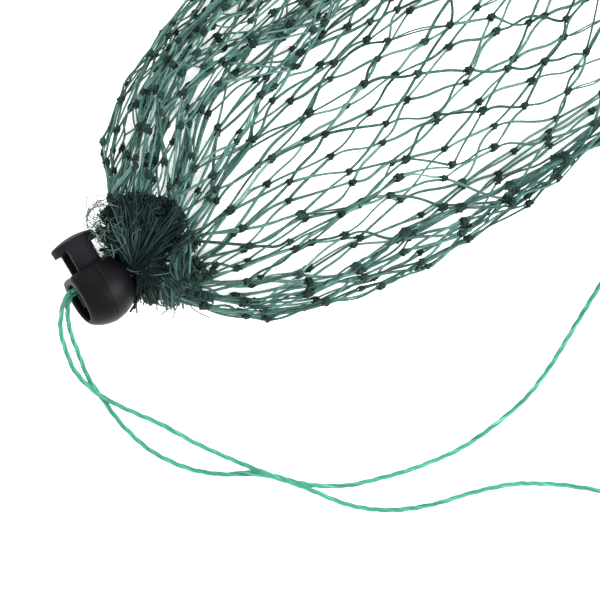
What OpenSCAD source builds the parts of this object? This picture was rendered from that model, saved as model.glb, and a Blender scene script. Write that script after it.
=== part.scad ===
// Drawstring net bag, lying flat with its mouth drawn shut.
// Knotted twine netting is gathered at both ends. The mouth is closed by a
// thin drawstring whose two strands run through a sprung cord lock, and the
// bottom is closed by a whipped tie.
// Millimetres, +Z up, the table is z = 0. +X runs from the mouth to the
// bottom of the bag.

/* [Bag] */
// Length of the netting from the drawn mouth to the bottom tie
bag_length = 280; // [220:10:360]
// Half of the greatest width of the netting as it lies
bag_half_width = 43; // [34:1:52]
// Height of the netting as it lies
bag_height = 18; // [16:1:24]
// Thickness of the netting, knots included
net_wall = 1.2; // [0.8:0.1:1.6]
// Radius of the gathered neck at the mouth and at the bottom
neck_radius = 3.6; // [3.4:0.1:4]

/* [Mouth] */
// Height of the middle of the mouth's neck above the table
mouth_height = 6.5; // [6:0.1:8]
// Reach of the frayed ruffle from the neck
ruffle_reach = 17; // [12:1:20]
// Thickness of the ruffle's fan
ruffle_thickness = 2.6; // [1.5:0.1:4]

/* [Cord lock] */
// Radius of the ball-shaped barrel
ball_radius = 8.3; // [8.2:0.1:9]
// Distance of the barrel's outer cord face from the middle of the ball
face_half = 5.6; // [5.4:0.1:5.8]
// Rounding of the outer cord face
face_round = 1.2; // [1:0.1:1.6]
// Distance of the cord face on the bag's side from the middle of the ball
back_half = 6.6; // [6:0.1:6.8]
// Radius of the cord hole through the barrel
cord_hole_radius = 4.4; // [4.3:0.05:4.45]
// Height of the barrel's flat top above the middle of the ball
barrel_top = 5.1; // [4.8:0.1:5.4]
// Radius of the plunger in the barrel
plunger_radius = 4.9; // [4.8:0.01:4.95]
// Radius of the plunger's cap
cap_radius = 5.35; // [5.2:0.05:5.5]
// Radial clearance of the plunger in the barrel
plunger_fit = 0.25; // [0.24:0.01:0.3]
// Height of the plunger's cap above the middle of the ball
cap_top = 12.95; // [12.6:0.05:13.2]
// Half of the plunger's thickness at its waist
waist_half = 2.88; // [2.7:0.02:3]
// Half of the width of the plunger's window
window_half = 3.2; // [3.1:0.05:3.4]
// Wire diameter of the spring
spring_wire = 0.4; // [0.3:0.05:0.4]

/* [Drawstring] */
// Diameter of the drawstring
cord_d = 1.1; // [0.9:0.1:1.2]
// Diameter of the twine that laces the side of the bag
lacing_d = 1; // [0.8:0.1:1.2]

/* [Hidden] */
$fn = 64;

// Where the mouth's neck stands in the part's frame
mouth_x = -141.3;
mouth_y = 0.4;
// Middle of the drawstring's loop, from the mouth's own point
neck_x = 0.9;
neck_y = -1.3;
// Height of the middle of the bottom neck
tie_height = 5.5;
// Middle of the ball, from the mouth's neck
lock_at = [-9.66, 1.62];
// Turn of the lock about the upright, and roll about its plunger
lock_yaw = -8;
lock_roll = 16;
// The plunger at rest: its foot, its window, the ridge of the cap's underside and its spring pocket
foot_z = -2.4;
window_z = 0.8;
ridge_z = 9.9;
ridge_fall = 0.13;
pocket_z = -0.4;
pocket_radius = 2.9;
// Floor of the barrel's bore, and the middle of the cord hole
bore_floor = -5.7;
hole_z = -0.9;
// The two strands in the cord hole: where they start, and their place across the hole
strand_a = [-10.8, -1.4, 2.2];
strand_b = [-11.3, -2.5, 1.6];
strand_exit = 5.1;
cord_r = cord_d / 2;
lacing_r = lacing_d / 2;

// ---- shapes of the lying bag:
// [distance, half width, middle height, half height, middle across]
hw = bag_half_width;
hh = bag_height - 5.5;
mouth_part = [
  [-1.2, neck_radius, mouth_height, neck_radius, neck_y],
  [2.2, neck_radius, mouth_height, neck_radius, neck_y],
  [3.1, 6.4, 6.4, 3.9, -0.6],
  [4.6, 12.4, 6.2, 4.4, 0.8],
  [7.2, 18.8, 6, 5.2, 1.7],
  [12, hw * 0.59, 5.8, hh * 0.45, 1.9],
  [20, hw * 0.71, 5.6, hh * 0.59, 1.6],
  [30, hw * 0.805, 5.5, hh * 0.70, 0.9],
  [42, hw * 0.9, 5.5, hh * 0.81, 0.7],
  [55, hw * 0.95, 5.5, hh * 0.90, 0.3],
  [75, hw * 0.98, 5.5, hh * 0.97, 0]];
bottom_part = [
  [-70, hw * 0.95, 5.5, hh * 0.95, 0],
  [-48, hw * 0.87, 5.5, hh * 0.83, 0],
  [-30, hw * 0.72, 5.5, hh * 0.69, 0],
  [-18, hw * 0.54, 5.5, hh * 0.55, 0],
  [-10, hw * 0.37, 5.5, 6.2, 0],
  [-5, hw * 0.22, 5.5, 4.8, 0],
  [-2.5, 5.5, 5.5, 3.9, 0],
  [-1.5, neck_radius, tie_height, neck_radius, 0],
  [4, neck_radius, tie_height, neck_radius, 0]];
stations = concat(
  mouth_part,
  [[bag_length * 0.36, hw * 0.99, 5.5, hh, 0],
   [bag_length * 0.5, hw, 5.5, hh, 0],
   [bag_length * 0.64, hw * 0.99, 5.5, hh, 0]],
  [for (s = bottom_part) [s[0] + bag_length, s[1], s[2], s[3], s[4]]]);

// ---- where the lacing lies: [distance, share of the half width]
lacing_share = [[7, 0.77], [16, 0.84], [25, 0.87], [38, 0.8], [52, 0.75], [69, 0.83],
                [85, 0.9], [96, 0.965], [104, 0.99], [114, 1], [300, 1]];

// ---- drawstring routes from the mouth's neck: [x, y, height]
route_a = [
  [-16.3, 4.4, 8.6], [-18.2, 3.55, 7], [-20.1, 2, 4.6], [-22.1, -0.1, 2.6],
  [-24, -4, 1.2], [-25.5, -9.5, 0.6], [-25, -14.5, 1.75], [-24, -18, 1.85],
  [-21.5, -23.5, 0.6], [-17.5, -31, 0.6], [-14, -39, 0.6], [-9.5, -47.5, 0.6],
  [-5, -55, 0.6], [0, -61.5, 0.6], [6, -66.5, 0.6], [13, -70, 0.6],
  [22, -73.5, 0.6], [32, -76, 0.6], [42, -76.5, 0.6], [50, -76, 0.6],
  [58, -74, 0.6], [67.5, -70.5, 0.6], [75.5, -67.5, 0.6], [82, -65.5, 0.6],
  [87, -66.5, 0.6], [89.5, -71, 0.6], [88, -76.5, 0.6], [83.5, -82, 0.8],
  [79, -86.5, 1.3], [75, -90.2, 1.8]];
route_b = [
  [-16.4, 3.6, 7.3], [-18, 2.35, 5.3], [-19.6, 0.3, 2.9], [-20.8, -2, 1.4],
  [-22, -5.5, 0.6], [-24, -12.5, 0.6], [-24.5, -19.5, 0.6], [-24.5, -26, 0.6],
  [-23, -34, 0.6], [-19, -42, 0.6], [-14, -47.6, 0.6], [-9, -51.3, 0.6],
  [-5.3, -55.2, 0.6], [-1.2, -61.3, 0.6], [4, -70.2, 0.6], [10, -76.5, 0.6],
  [18, -81.5, 0.6], [28, -85.5, 0.6], [36, -89.5, 0.6], [43, -95, 0.6],
  [48.5, -100.5, 0.6], [52.5, -105, 0.6], [57, -107.5, 0.6], [62, -106, 0.6],
  [66.5, -101, 0.8], [69.5, -96.5, 1.3], [72, -92.8, 1.8]];
end_knot_at = [73.5, -91.5, 1.9];

// ---- curves and sweeps
function unit(v) = v / norm(v);
function tangent(p, i) =
  i <= 0 ? unit(p[1] - p[0])
  : i >= len(p) - 1 ? unit(p[len(p) - 1] - p[len(p) - 2])
  : unit(p[i + 1] - p[i - 1]);
function across(t, n) = unit(n - (n * t) * t);
function frames(p) = [
  for (i = 0, t = tangent(p, 0), n = across(t, [0.11, 0.07, 1]);
       i < len(p);
       i = i + 1, t = tangent(p, i), n = across(t, n)) [p[i], t, n]];
function between(a, b, c, d, t) =
  0.5 * (2 * b + (c - a) * t + (2 * a - 5 * b + 4 * c - d) * t * t
         + (3 * b - a - 3 * c + d) * t * t * t);
function smooth(p, n) = concat(
  [for (i = [0 : len(p) - 2], k = [0 : n - 1])
     between(p[max(i - 1, 0)], p[i], p[i + 1], p[min(i + 2, len(p) - 1)], k / n)],
  [p[len(p) - 1]]);
function ring_faces(rings, sides) = concat(
  [[for (k = [0 : sides - 1]) k]],
  [[for (k = [sides - 1 : -1 : 0]) (rings - 1) * sides + k]],
  [for (i = [0 : rings - 2], k = [0 : sides - 1])
     [i * sides + k, (i + 1) * sides + k,
      (i + 1) * sides + (k + 1) % sides, i * sides + (k + 1) % sides]]);

module tube(p, r, sides = 8) {
  polyhedron(
    points = [for (f = frames(p), k = [0 : sides - 1])
      f[0] + r * (cos(360 * k / sides) * f[2]
                  + sin(360 * k / sides) * cross(f[1], f[2]))],
    faces = ring_faces(len(p), sides), convexity = 6);
}

// Puts a piece where the mouth's neck stands
module from_mouth() { translate([mouth_x, mouth_y, 0]) children(); }

// The lock's own axes: X out of the cord hole, Y up, Z out of the cap
module lock_frame() {
  from_mouth()
    translate([lock_at[0], lock_at[1], ball_radius])
      rotate([0, 0, lock_yaw]) rotate([90, 0, 180]) rotate([0, 0, lock_roll])
        children();
}
function lock_x() = [-cos(lock_roll) * cos(lock_yaw), -cos(lock_roll) * sin(lock_yaw), sin(lock_roll)];
function lock_y() = [sin(lock_roll) * cos(lock_yaw), sin(lock_roll) * sin(lock_yaw), cos(lock_roll)];
function lock_z() = [-sin(lock_yaw), cos(lock_yaw), 0];
function lock_point(p) = [lock_at[0], lock_at[1], ball_radius]
  + p[0] * lock_x() + p[1] * lock_y() + p[2] * lock_z();

// ---- netting: a closed bag, with only the small hole that the drawn mouth leaves
module net_body() {
  rings = smooth(stations, 3);
  inner = [for (s = rings) if (s[0] < bag_length - 4.5) s];
  sides = 32;
  n = len(rings);
  m = len(inner);
  color("darkslategray") from_mouth()
    polyhedron(
      points = concat(
        [for (s = rings, k = [0 : sides - 1])
          [s[0], s[4] + s[1] * cos(360 * k / sides),
           max(0, s[2] + s[3] * sin(360 * k / sides))]],
        [for (s = inner, k = [0 : sides - 1])
          [s[0], s[4] + (s[1] - net_wall) * cos(360 * k / sides),
           max(net_wall, s[2] + (s[3] - net_wall) * sin(360 * k / sides))]]),
      faces = concat(
        [[for (k = [sides - 1 : -1 : 0]) (n - 1) * sides + k]],
        [[for (k = [0 : sides - 1]) (n + m - 1) * sides + k]],
        [for (k = [0 : sides - 1])
          [k, (k + 1) % sides, n * sides + (k + 1) % sides, n * sides + k]],
        [for (i = [0 : n - 2], k = [0 : sides - 1])
          [i * sides + k, (i + 1) * sides + k,
           (i + 1) * sides + (k + 1) % sides, i * sides + (k + 1) % sides]],
        [for (i = [n : n + m - 2], k = [0 : sides - 1])
          [i * sides + k, i * sides + (k + 1) % sides,
           (i + 1) * sides + (k + 1) % sides, (i + 1) * sides + k]]),
      convexity = 8);
}

// The cut edge of the netting, flared beyond the drawstring
module mouth_ruffle() {
  r = ruffle_reach;
  color("darkgreen") from_mouth() difference() {
    union() {
      translate([neck_x - 2.2, neck_y, mouth_height]) rotate([0, 90, 0])
        linear_extrude(height = 1.45) difference() {
          polygon([for (k = [0 : 47]) [6.1 * cos(k * 7.5), 9.5 * sin(k * 7.5)]]);
          circle(r = neck_radius - 0.1);
        }
      translate([0, 0, mouth_height + neck_radius + cord_d + 0.4])
        rotate([0, 0, 43.5]) rotate([0, -20, 0])
          linear_extrude(height = ruffle_thickness)
            polygon([[-0.4, -1.6], [-0.4, 1.6], [0.55 * r, 0.59 * r], [0.77 * r, 0.56 * r],
                     [0.87 * r, 0.32 * r], [0.96 * r, 0.1 * r], [0.98 * r, -0.15 * r],
                     [0.94 * r, -0.41 * r], [0.79 * r, -0.45 * r], [0.55 * r, -0.53 * r]]);
    }
    translate([-2.2, 1.2, 2.2]) cube([3.2, 2.2, 3]);
  }
}

// The drawstring where it runs through the meshes of the mouth
module drawstring_loop() {
  color("mediumseagreen") from_mouth()
    translate([neck_x, neck_y, mouth_height]) rotate([0, 90, 0])
      rotate_extrude() translate([neck_radius + cord_r - 0.1, 0]) circle(r = cord_r, $fn = 24);
}

module lead(s) {
  color("mediumseagreen") lock_frame()
    translate(s) rotate([0, 90, 0])
      cylinder(r = cord_r, h = strand_exit - s[0], $fn = 24);
}
module drawstring_lead_a() { lead(strand_a); }
module drawstring_lead_b() { lead(strand_b); }

module drawstring_tail_a() {
  color("mediumseagreen") from_mouth()
    tube(concat([lock_point([strand_exit + 0.4, strand_a[1], strand_a[2]])], route_a), cord_r);
}
module drawstring_tail_b() {
  color("mediumseagreen") from_mouth()
    tube(concat([lock_point([strand_exit + 0.4, strand_b[1], strand_b[2]])], route_b), cord_r);
}

// The two ends of the drawstring tied together
module drawstring_end_knot() {
  color("seagreen") from_mouth() translate(end_knot_at) sphere(r = 1.85, $fn = 32);
}

// ---- cord lock
// One half of the ball's outline: a face at the given distance, rounded into the ball
module ball_half(face, rounding) {
  rc = ball_radius - rounding;
  fc = face - rounding;
  uc = sqrt(rc * rc - fc * fc);
  vs = fc * ball_radius / rc;
  intersection() {
    circle(r = ball_radius, $fn = 96);
    translate([0, -0.01]) square([ball_radius, vs + 0.01]);
  }
  translate([0, -0.01]) square([uc, face + 0.01]);
  translate([uc, fc]) circle(r = rounding, $fn = 48);
}

module lock_barrel() {
  top_round = 1.2;
  tr = sqrt(pow(ball_radius - top_round, 2) - pow(barrel_top - top_round, 2));
  ts = (barrel_top - top_round) * ball_radius / (ball_radius - top_round);
  front = face_half - top_round;
  color([0.13, 0.13, 0.14]) lock_frame() difference() {
    intersection() {
      union() {
        // the ball, flattened and rounded at its two cord faces
        rotate([0, 90, 0]) rotate_extrude($fn = 96) union() {
          ball_half(face_half, face_round);
          mirror([0, 1]) ball_half(back_half, 1);
        }
        // the moulding line
        translate([-0.12, 0, 0]) rotate([0, 90, 0])
          cylinder(r = ball_radius + 0.06, h = 0.24, $fn = 96);
      }
      // the flat top, rounded into the ball
      rotate_extrude($fn = 96) union() {
        translate([0, -20]) square([20, 20 + ts]);
        translate([0, -20]) square([tr, 20 + barrel_top]);
        translate([tr, barrel_top - top_round]) circle(r = top_round, $fn = 48);
      }
      // and into the outer cord face
      translate([0, 20, 0]) rotate([90, 0, 0]) linear_extrude(height = 40) union() {
        translate([-20, -20]) square([20 + front, 20 + barrel_top]);
        translate([-20, -20]) square([20 + face_half, 20 + barrel_top - top_round]);
        translate([front, barrel_top - top_round]) circle(r = top_round, $fn = 48);
      }
    }
    // bore of the plunger
    translate([0, 0, bore_floor])
      cylinder(r = plunger_radius + plunger_fit, h = 20);
    // cord hole with its rounded rims
    translate([-20, 0, hole_z]) rotate([0, 90, 0]) cylinder(r = cord_hole_radius, h = 40);
    for (s = [[0, face_half], [180, back_half]]) rotate([0, 0, s[0]])
      translate([0, 0, hole_z]) rotate([0, 90, 0])
        rotate_extrude() difference() {
          translate([cord_hole_radius - 0.5, s[1] - 0.6]) square([1.1, 0.7]);
          translate([cord_hole_radius + 0.6, s[1] - 0.6]) circle(r = 0.6, $fn = 32);
        }
  }
}

module lock_plunger() {
  edge = 0.8;
  rise = 0.7;
  corner = 1.2;
  flat = cap_radius - edge;
  rim = cap_top - rise - edge;
  dome = (flat * flat + rise * rise) / (2 * rise);
  ceiling = ridge_z + 1;
  function under(y) = ridge_z + ridge_fall * abs(y);
  color([0.16, 0.16, 0.17]) lock_frame() difference() {
    // cylinder that widens a little towards its domed cap
    rotate_extrude() union() {
      translate([0, foot_z]) square([plunger_radius, rim - foot_z]);
      polygon([[0, barrel_top + 0.4], [plunger_radius, barrel_top + 0.4], [cap_radius, rim], [0, rim]]);
      intersection() {
        translate([0, cap_top - dome]) circle(r = dome, $fn = 128);
        translate([0, rim - 0.5]) square([flat, cap_top - rim + 1]);
      }
      translate([flat, rim]) circle(r = edge, $fn = 48);
    }
    // waist on both cord sides, under the overhang of the cap
    for (s = [0, 180]) rotate([0, 0, s]) intersection() {
      translate([0, 8, 0]) rotate([90, 0, 0]) linear_extrude(height = 16) union() {
        translate([waist_half, window_z]) square([6, ceiling - corner - window_z]);
        translate([waist_half + corner, window_z]) square([6 - corner, ceiling - window_z]);
        translate([waist_half + corner, ceiling - corner]) circle(r = corner, $fn = 48);
      }
      translate([-9, 0, 0]) rotate([90, 0, 90]) linear_extrude(height = 18)
        polygon([[-8, window_z - 1], [8, window_z - 1], [8, under(8)], [0, under(0)], [-8, under(8)]]);
    }
    // window for the drawstring
    translate([-9, 0, 0]) rotate([90, 0, 90]) linear_extrude(height = 18)
      polygon([[-window_half, window_z], [window_half, window_z], [window_half, under(window_half)],
               [0, under(0)], [-window_half, under(window_half)]]);
    // spring pocket
    translate([0, 0, foot_z - 1]) cylinder(r = pocket_radius, h = pocket_z - foot_z + 1);
  }
}

module lock_spring() {
  turns = 4;
  steps = 64;
  low = bore_floor + spring_wire / 2 - 0.02;
  high = pocket_z - spring_wire / 2 - 0.08;
  color("silver") lock_frame()
    tube([for (i = [0 : steps])
      [2.3 * cos(360 * turns * i / steps), 2.3 * sin(360 * turns * i / steps),
       low + (high - low) * i / steps]], spring_wire / 2);
}

// ---- side lacing: joins the two edges of the netting along one side
function lacing_point(s, out) =
  let (share = lookup(s[0], lacing_share))
    [s[0], s[4] - share * (s[1] + out), s[2] + sqrt(max(0, 1 - share * share)) * (s[3] + out)];
function lacing_rings() =
  [for (s = smooth(stations, 3)) if (s[0] > 7 && s[0] < bag_length - 8) s];

module side_lacing() {
  color("teal") from_mouth()
    tube([for (s = lacing_rings()) lacing_point(s, lacing_r - 0.2)], lacing_r);
}

module lacing_knots() {
  rings = lacing_rings();
  color("teal") from_mouth()
    for (s = [rings[0], rings[len(rings) - 1]])
      translate(lacing_point(s, 0.9)) sphere(r = 1.4, $fn = 32);
}

// ---- bottom of the bag
module bottom_tie() {
  color("mediumseagreen") from_mouth()
    for (i = [0 : 3]) translate([bag_length - 0.6 + 1.15 * i, 0, tie_height]) rotate([0, 90, 0])
      rotate_extrude() translate([neck_radius + cord_r - 0.1, 0]) circle(r = cord_r, $fn = 24);
}

module bottom_tie_knot() {
  color("seagreen") from_mouth()
    translate([bag_length + 1.1, 0, tie_height + neck_radius + cord_d + 1.2]) union() {
      sphere(r = 1.7, $fn = 32);
      rotate([0, 0, 62]) rotate([0, 100, 0]) cylinder(r = cord_r, h = 9, $fn = 24);
      rotate([0, 0, -48]) rotate([0, 102, 0]) cylinder(r = cord_r, h = 7, $fn = 24);
    }
}

module bottom_ruffle() {
  color("darkgreen") from_mouth()
    translate([bag_length + 3.7, 0, 1.2]) linear_extrude(height = 8.4)
      polygon([[0, -3.2], [0, 3.2], [11, 10.5], [14.5, 6], [15.5, 1],
               [15, -4], [12.5, -9], [9.5, -10.5]]);
}

net_body();
mouth_ruffle();
drawstring_loop();
drawstring_lead_a();
drawstring_lead_b();
drawstring_tail_a();
drawstring_tail_b();
drawstring_end_knot();
lock_barrel();
lock_plunger();
lock_spring();
side_lacing();
lacing_knots();
bottom_tie();
bottom_tie_knot();
bottom_ruffle();
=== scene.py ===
import math

import bpy
import numpy as np
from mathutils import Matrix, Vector


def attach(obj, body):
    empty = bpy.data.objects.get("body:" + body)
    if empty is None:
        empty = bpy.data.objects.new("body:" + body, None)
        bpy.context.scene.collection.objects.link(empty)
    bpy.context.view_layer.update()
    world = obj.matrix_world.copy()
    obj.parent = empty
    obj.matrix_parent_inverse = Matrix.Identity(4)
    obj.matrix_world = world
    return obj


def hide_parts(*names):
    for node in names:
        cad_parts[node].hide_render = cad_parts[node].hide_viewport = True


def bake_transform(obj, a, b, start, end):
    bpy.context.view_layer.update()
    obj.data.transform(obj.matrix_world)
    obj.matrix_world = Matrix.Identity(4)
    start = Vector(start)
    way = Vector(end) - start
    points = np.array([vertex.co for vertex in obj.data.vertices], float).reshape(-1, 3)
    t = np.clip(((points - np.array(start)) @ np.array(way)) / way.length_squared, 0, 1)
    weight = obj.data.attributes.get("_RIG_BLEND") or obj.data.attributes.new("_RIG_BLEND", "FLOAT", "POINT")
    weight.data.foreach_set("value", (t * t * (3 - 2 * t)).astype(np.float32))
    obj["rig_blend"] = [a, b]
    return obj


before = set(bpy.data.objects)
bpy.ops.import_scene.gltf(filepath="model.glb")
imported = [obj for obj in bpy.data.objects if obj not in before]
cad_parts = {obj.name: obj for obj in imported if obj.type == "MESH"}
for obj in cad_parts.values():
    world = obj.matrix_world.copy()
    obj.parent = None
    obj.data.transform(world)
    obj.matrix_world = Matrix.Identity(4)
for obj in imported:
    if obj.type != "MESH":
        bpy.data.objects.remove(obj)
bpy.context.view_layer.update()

# Everything below is laid out in millimetres from the neck of the bag's mouth, x along the bag to its
# bottom, and is put into the part's frame, in metres, when a mesh is made.
MOUTH = np.array([-141.3, 0.4, 0.0])
LENGTH = 280.0
rng = np.random.default_rng(20)


def to_row(p):
    return (np.asarray(p, float) + MOUTH) / 1000.0


def unit(v):
    return v / np.maximum(np.linalg.norm(v, axis=-1, keepdims=True), 1e-12)


def step(x, low, high):
    t = np.clip((np.asarray(x, float) - low) / (high - low), 0, 1)
    return t * t * (3 - 2 * t)


def catmull(points, n):
    p = np.asarray(points, float)
    out = []
    for i in range(len(p) - 1):
        a, b, c, d = p[max(i - 1, 0)], p[i], p[i + 1], p[min(i + 2, len(p) - 1)]
        for k in range(n):
            t = k / n
            out.append(0.5 * (2 * b + (c - a) * t + (2 * a - 5 * b + 4 * c - d) * t * t + (3 * b - a - 3 * c + d) * t ** 3))
    out.append(p[-1])
    return np.array(out)


def even(points, k):
    """k points at equal distances along a polyline."""
    p = np.asarray(points, float)
    s = np.concatenate([[0], np.cumsum(np.linalg.norm(np.diff(p, axis=0), axis=1))])
    t = np.linspace(0, s[-1], k)
    return np.stack([np.interp(t, s, p[:, j]) for j in range(p.shape[1])], 1)


def length_of(p):
    return float(np.linalg.norm(np.diff(np.asarray(p, float), axis=0), axis=1).sum())


def spread(x, n, k):
    """A number, one for each strand, or one for each strand and point, for n strands of k points."""
    x = np.asarray(x, float)
    return np.broadcast_to(x[:, None] if x.ndim == 1 else x, (n, k))


class Strands:
    """Collects swept strands into one mesh: a twist map, a tint for each strand and a map for the bake."""

    def __init__(self):
        self.v, self.tint, self.quads, self.uv, self.cell, self.local = [], [], [], [], [], []
        self.caps = {}
        self.count = self.cells = self.faces = 0

    def sweep(self, paths, radius, sides=6, wide=1.0, flat=1.0, roll=0.0, tint=0.5, chunk=10):
        p = np.asarray(paths, float)
        if p.ndim == 2:
            p = p[None]
        n, k, _ = p.shape
        t = np.empty_like(p)
        t[:, 1:-1] = p[:, 2:] - p[:, :-2]
        t[:, 0], t[:, -1] = p[:, 1] - p[:, 0], p[:, -1] - p[:, -2]
        t = unit(t)
        ref = np.where(np.abs(t[:, 0, 2:3]) > 0.9, np.array([[1.0, 0, 0]]), np.array([[0, 0, 1.0]]))
        side = np.empty_like(p)
        last = unit(ref - (ref * t[:, 0]).sum(-1, keepdims=True) * t[:, 0])
        side[:, 0] = last
        for i in range(1, k):
            last = unit(last - (last * t[:, i]).sum(-1, keepdims=True) * t[:, i])
            side[:, i] = last
        other = np.cross(t, side)
        radius, wide, flat, roll, tint = (spread(x, n, k) for x in (radius, wide, flat, roll, tint))
        c, s = np.cos(roll)[..., None], np.sin(roll)[..., None]
        up, across = side * c + other * s, other * c - side * s
        a = np.arange(sides) * 2 * math.pi / sides
        ring = (p[:, :, None] + radius[..., None, None] * (
            np.cos(a)[None, None, :, None] * (up * flat[..., None])[:, :, None]
            + np.sin(a)[None, None, :, None] * (across * wide[..., None])[:, :, None]))
        base = self.count
        self.v.append(ring.reshape(-1, 3))
        self.tint.append(np.repeat(tint.reshape(-1), sides))
        index = base + np.arange(n * k * sides).reshape(n, k, sides)
        nxt = np.roll(index, -1, axis=2)
        q = np.stack([index[:, :-1], nxt[:, :-1], nxt[:, 1:], index[:, 1:]], -1).reshape(-1, 4)
        self.quads.append(q)
        run = np.concatenate([np.zeros((n, 1)), np.cumsum(np.linalg.norm(np.diff(p, axis=1), axis=2), axis=1)], 1)
        u0 = np.broadcast_to((np.arange(sides) / sides)[None, None], (n, k - 1, sides))
        u1 = u0 + 1.0 / sides
        v0 = np.broadcast_to(run[:, :-1, None], u0.shape)
        v1 = np.broadcast_to(run[:, 1:, None], u0.shape)
        self.uv.append(np.stack([u0, v0, u1, v0, u1, v1, u0, v1], -1).reshape(-1, 4, 2))
        pieces = max(1, math.ceil((k - 1) / chunk))
        per = math.ceil((k - 1) / pieces)
        seg = np.arange(k - 1)
        which, inside = seg // per, (seg % per) / per
        cell = self.cells + np.arange(n)[:, None] * pieces + which[None]
        self.cells += n * pieces
        self.cell.append(np.broadcast_to(cell[..., None], u0.shape).reshape(-1))
        l0 = np.broadcast_to(inside[None, :, None], u0.shape)
        l1 = l0 + 1.0 / per
        self.local.append(np.stack([u0, l0, u1, l0, u1, l1, u0, l1], -1).reshape(-1, 4, 2))
        ends = self.caps.setdefault(sides, [])
        ends.append((index[:, 0, ::-1], cell[:, 0], 0.0))
        ends.append((index[:, -1], cell[:, -1], float(inside[-1] + 1.0 / per)))
        self.count += n * k * sides
        self.faces += len(q) * 2 + n * 2 * (sides - 2)
        return self

    def mesh(self, name):
        v = to_row(np.concatenate(self.v))
        grid = math.ceil(math.sqrt(max(self.cells, 1)))

        def placed(cell, local):
            at = np.stack([cell % grid, cell // grid], -1).astype(float)
            return (at[:, None] + 0.07 + 0.86 * local) / grid

        q = np.concatenate(self.quads)
        loops, starts = [q.ravel()], [np.arange(len(q)) * 4]
        uv = [np.concatenate(self.uv).reshape(-1, 2)]
        bake = [placed(np.concatenate(self.cell), np.concatenate(self.local)).reshape(-1, 2)]
        at = q.size
        for sides, ends in self.caps.items():
            for index, cell, end in ends:
                m = len(index)
                loops.append(index.ravel())
                starts.append(at + np.arange(m) * sides)
                at += m * sides
                uv.append(np.tile([[0.5, 0.0]], (m * sides, 1)))
                angle = np.arange(sides) / sides
                local = np.stack([angle, np.full(sides, end * 0.96 + 0.02)], -1)
                bake.append(placed(cell, np.broadcast_to(local[None], (m, sides, 2))).reshape(-1, 2))
        loops, starts = np.concatenate(loops), np.concatenate(starts)
        me = bpy.data.meshes.new(name)
        me.vertices.add(len(v))
        me.vertices.foreach_set("co", v.astype(np.float32).ravel())
        me.loops.add(len(loops))
        me.loops.foreach_set("vertex_index", loops.astype(np.int32))
        me.polygons.add(len(starts))
        me.polygons.foreach_set("loop_start", starts.astype(np.int32))
        layer = me.uv_layers.new(name="Twist")
        layer.uv.foreach_set("vector", np.concatenate(uv).astype(np.float32).ravel())
        layer = me.uv_layers.new(name="OFBake")
        layer.uv.foreach_set("vector", np.concatenate(bake).astype(np.float32).ravel())
        me.uv_layers.active_index = 0
        kept = me.attributes.new("tint", "FLOAT", "POINT")
        kept.data.foreach_set("value", np.concatenate(self.tint).astype(np.float32))
        me.update(calc_edges=True)
        me.polygons.foreach_set("use_smooth", np.ones(len(starts), bool))
        me.validate()
        return me

    def piece(self, name, material, body=None, slot=None, nodes=()):
        ob = bpy.data.objects.new(name, self.mesh(name))
        bpy.context.scene.collection.objects.link(ob)
        ob.data.materials.append(material)
        if body:
            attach(ob, body)
        if nodes:
            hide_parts(*nodes)
        return ob


# ---------------------------------------------------------------- materials


def new_material(name):
    m = bpy.data.materials.new(name)
    m.use_nodes = True
    t = m.node_tree
    return m, t, t.nodes["Principled BSDF"]


def link(t, a, b):
    t.links.new(a, b)


def node(t, kind, **values):
    n = t.nodes.new(kind)
    for k, v in values.items():
        if k.startswith("in_"):
            n.inputs[int(k[3:])].default_value = v
        else:
            setattr(n, k, v)
    return n


def ramp(t, stops):
    n = t.nodes.new("ShaderNodeValToRGB")
    r = n.color_ramp
    while len(r.elements) < len(stops):
        r.elements.new(0.5)
    for e, (at, colour) in zip(r.elements, stops):
        e.position, e.color = at, (*colour, 1.0)
    return n


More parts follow.
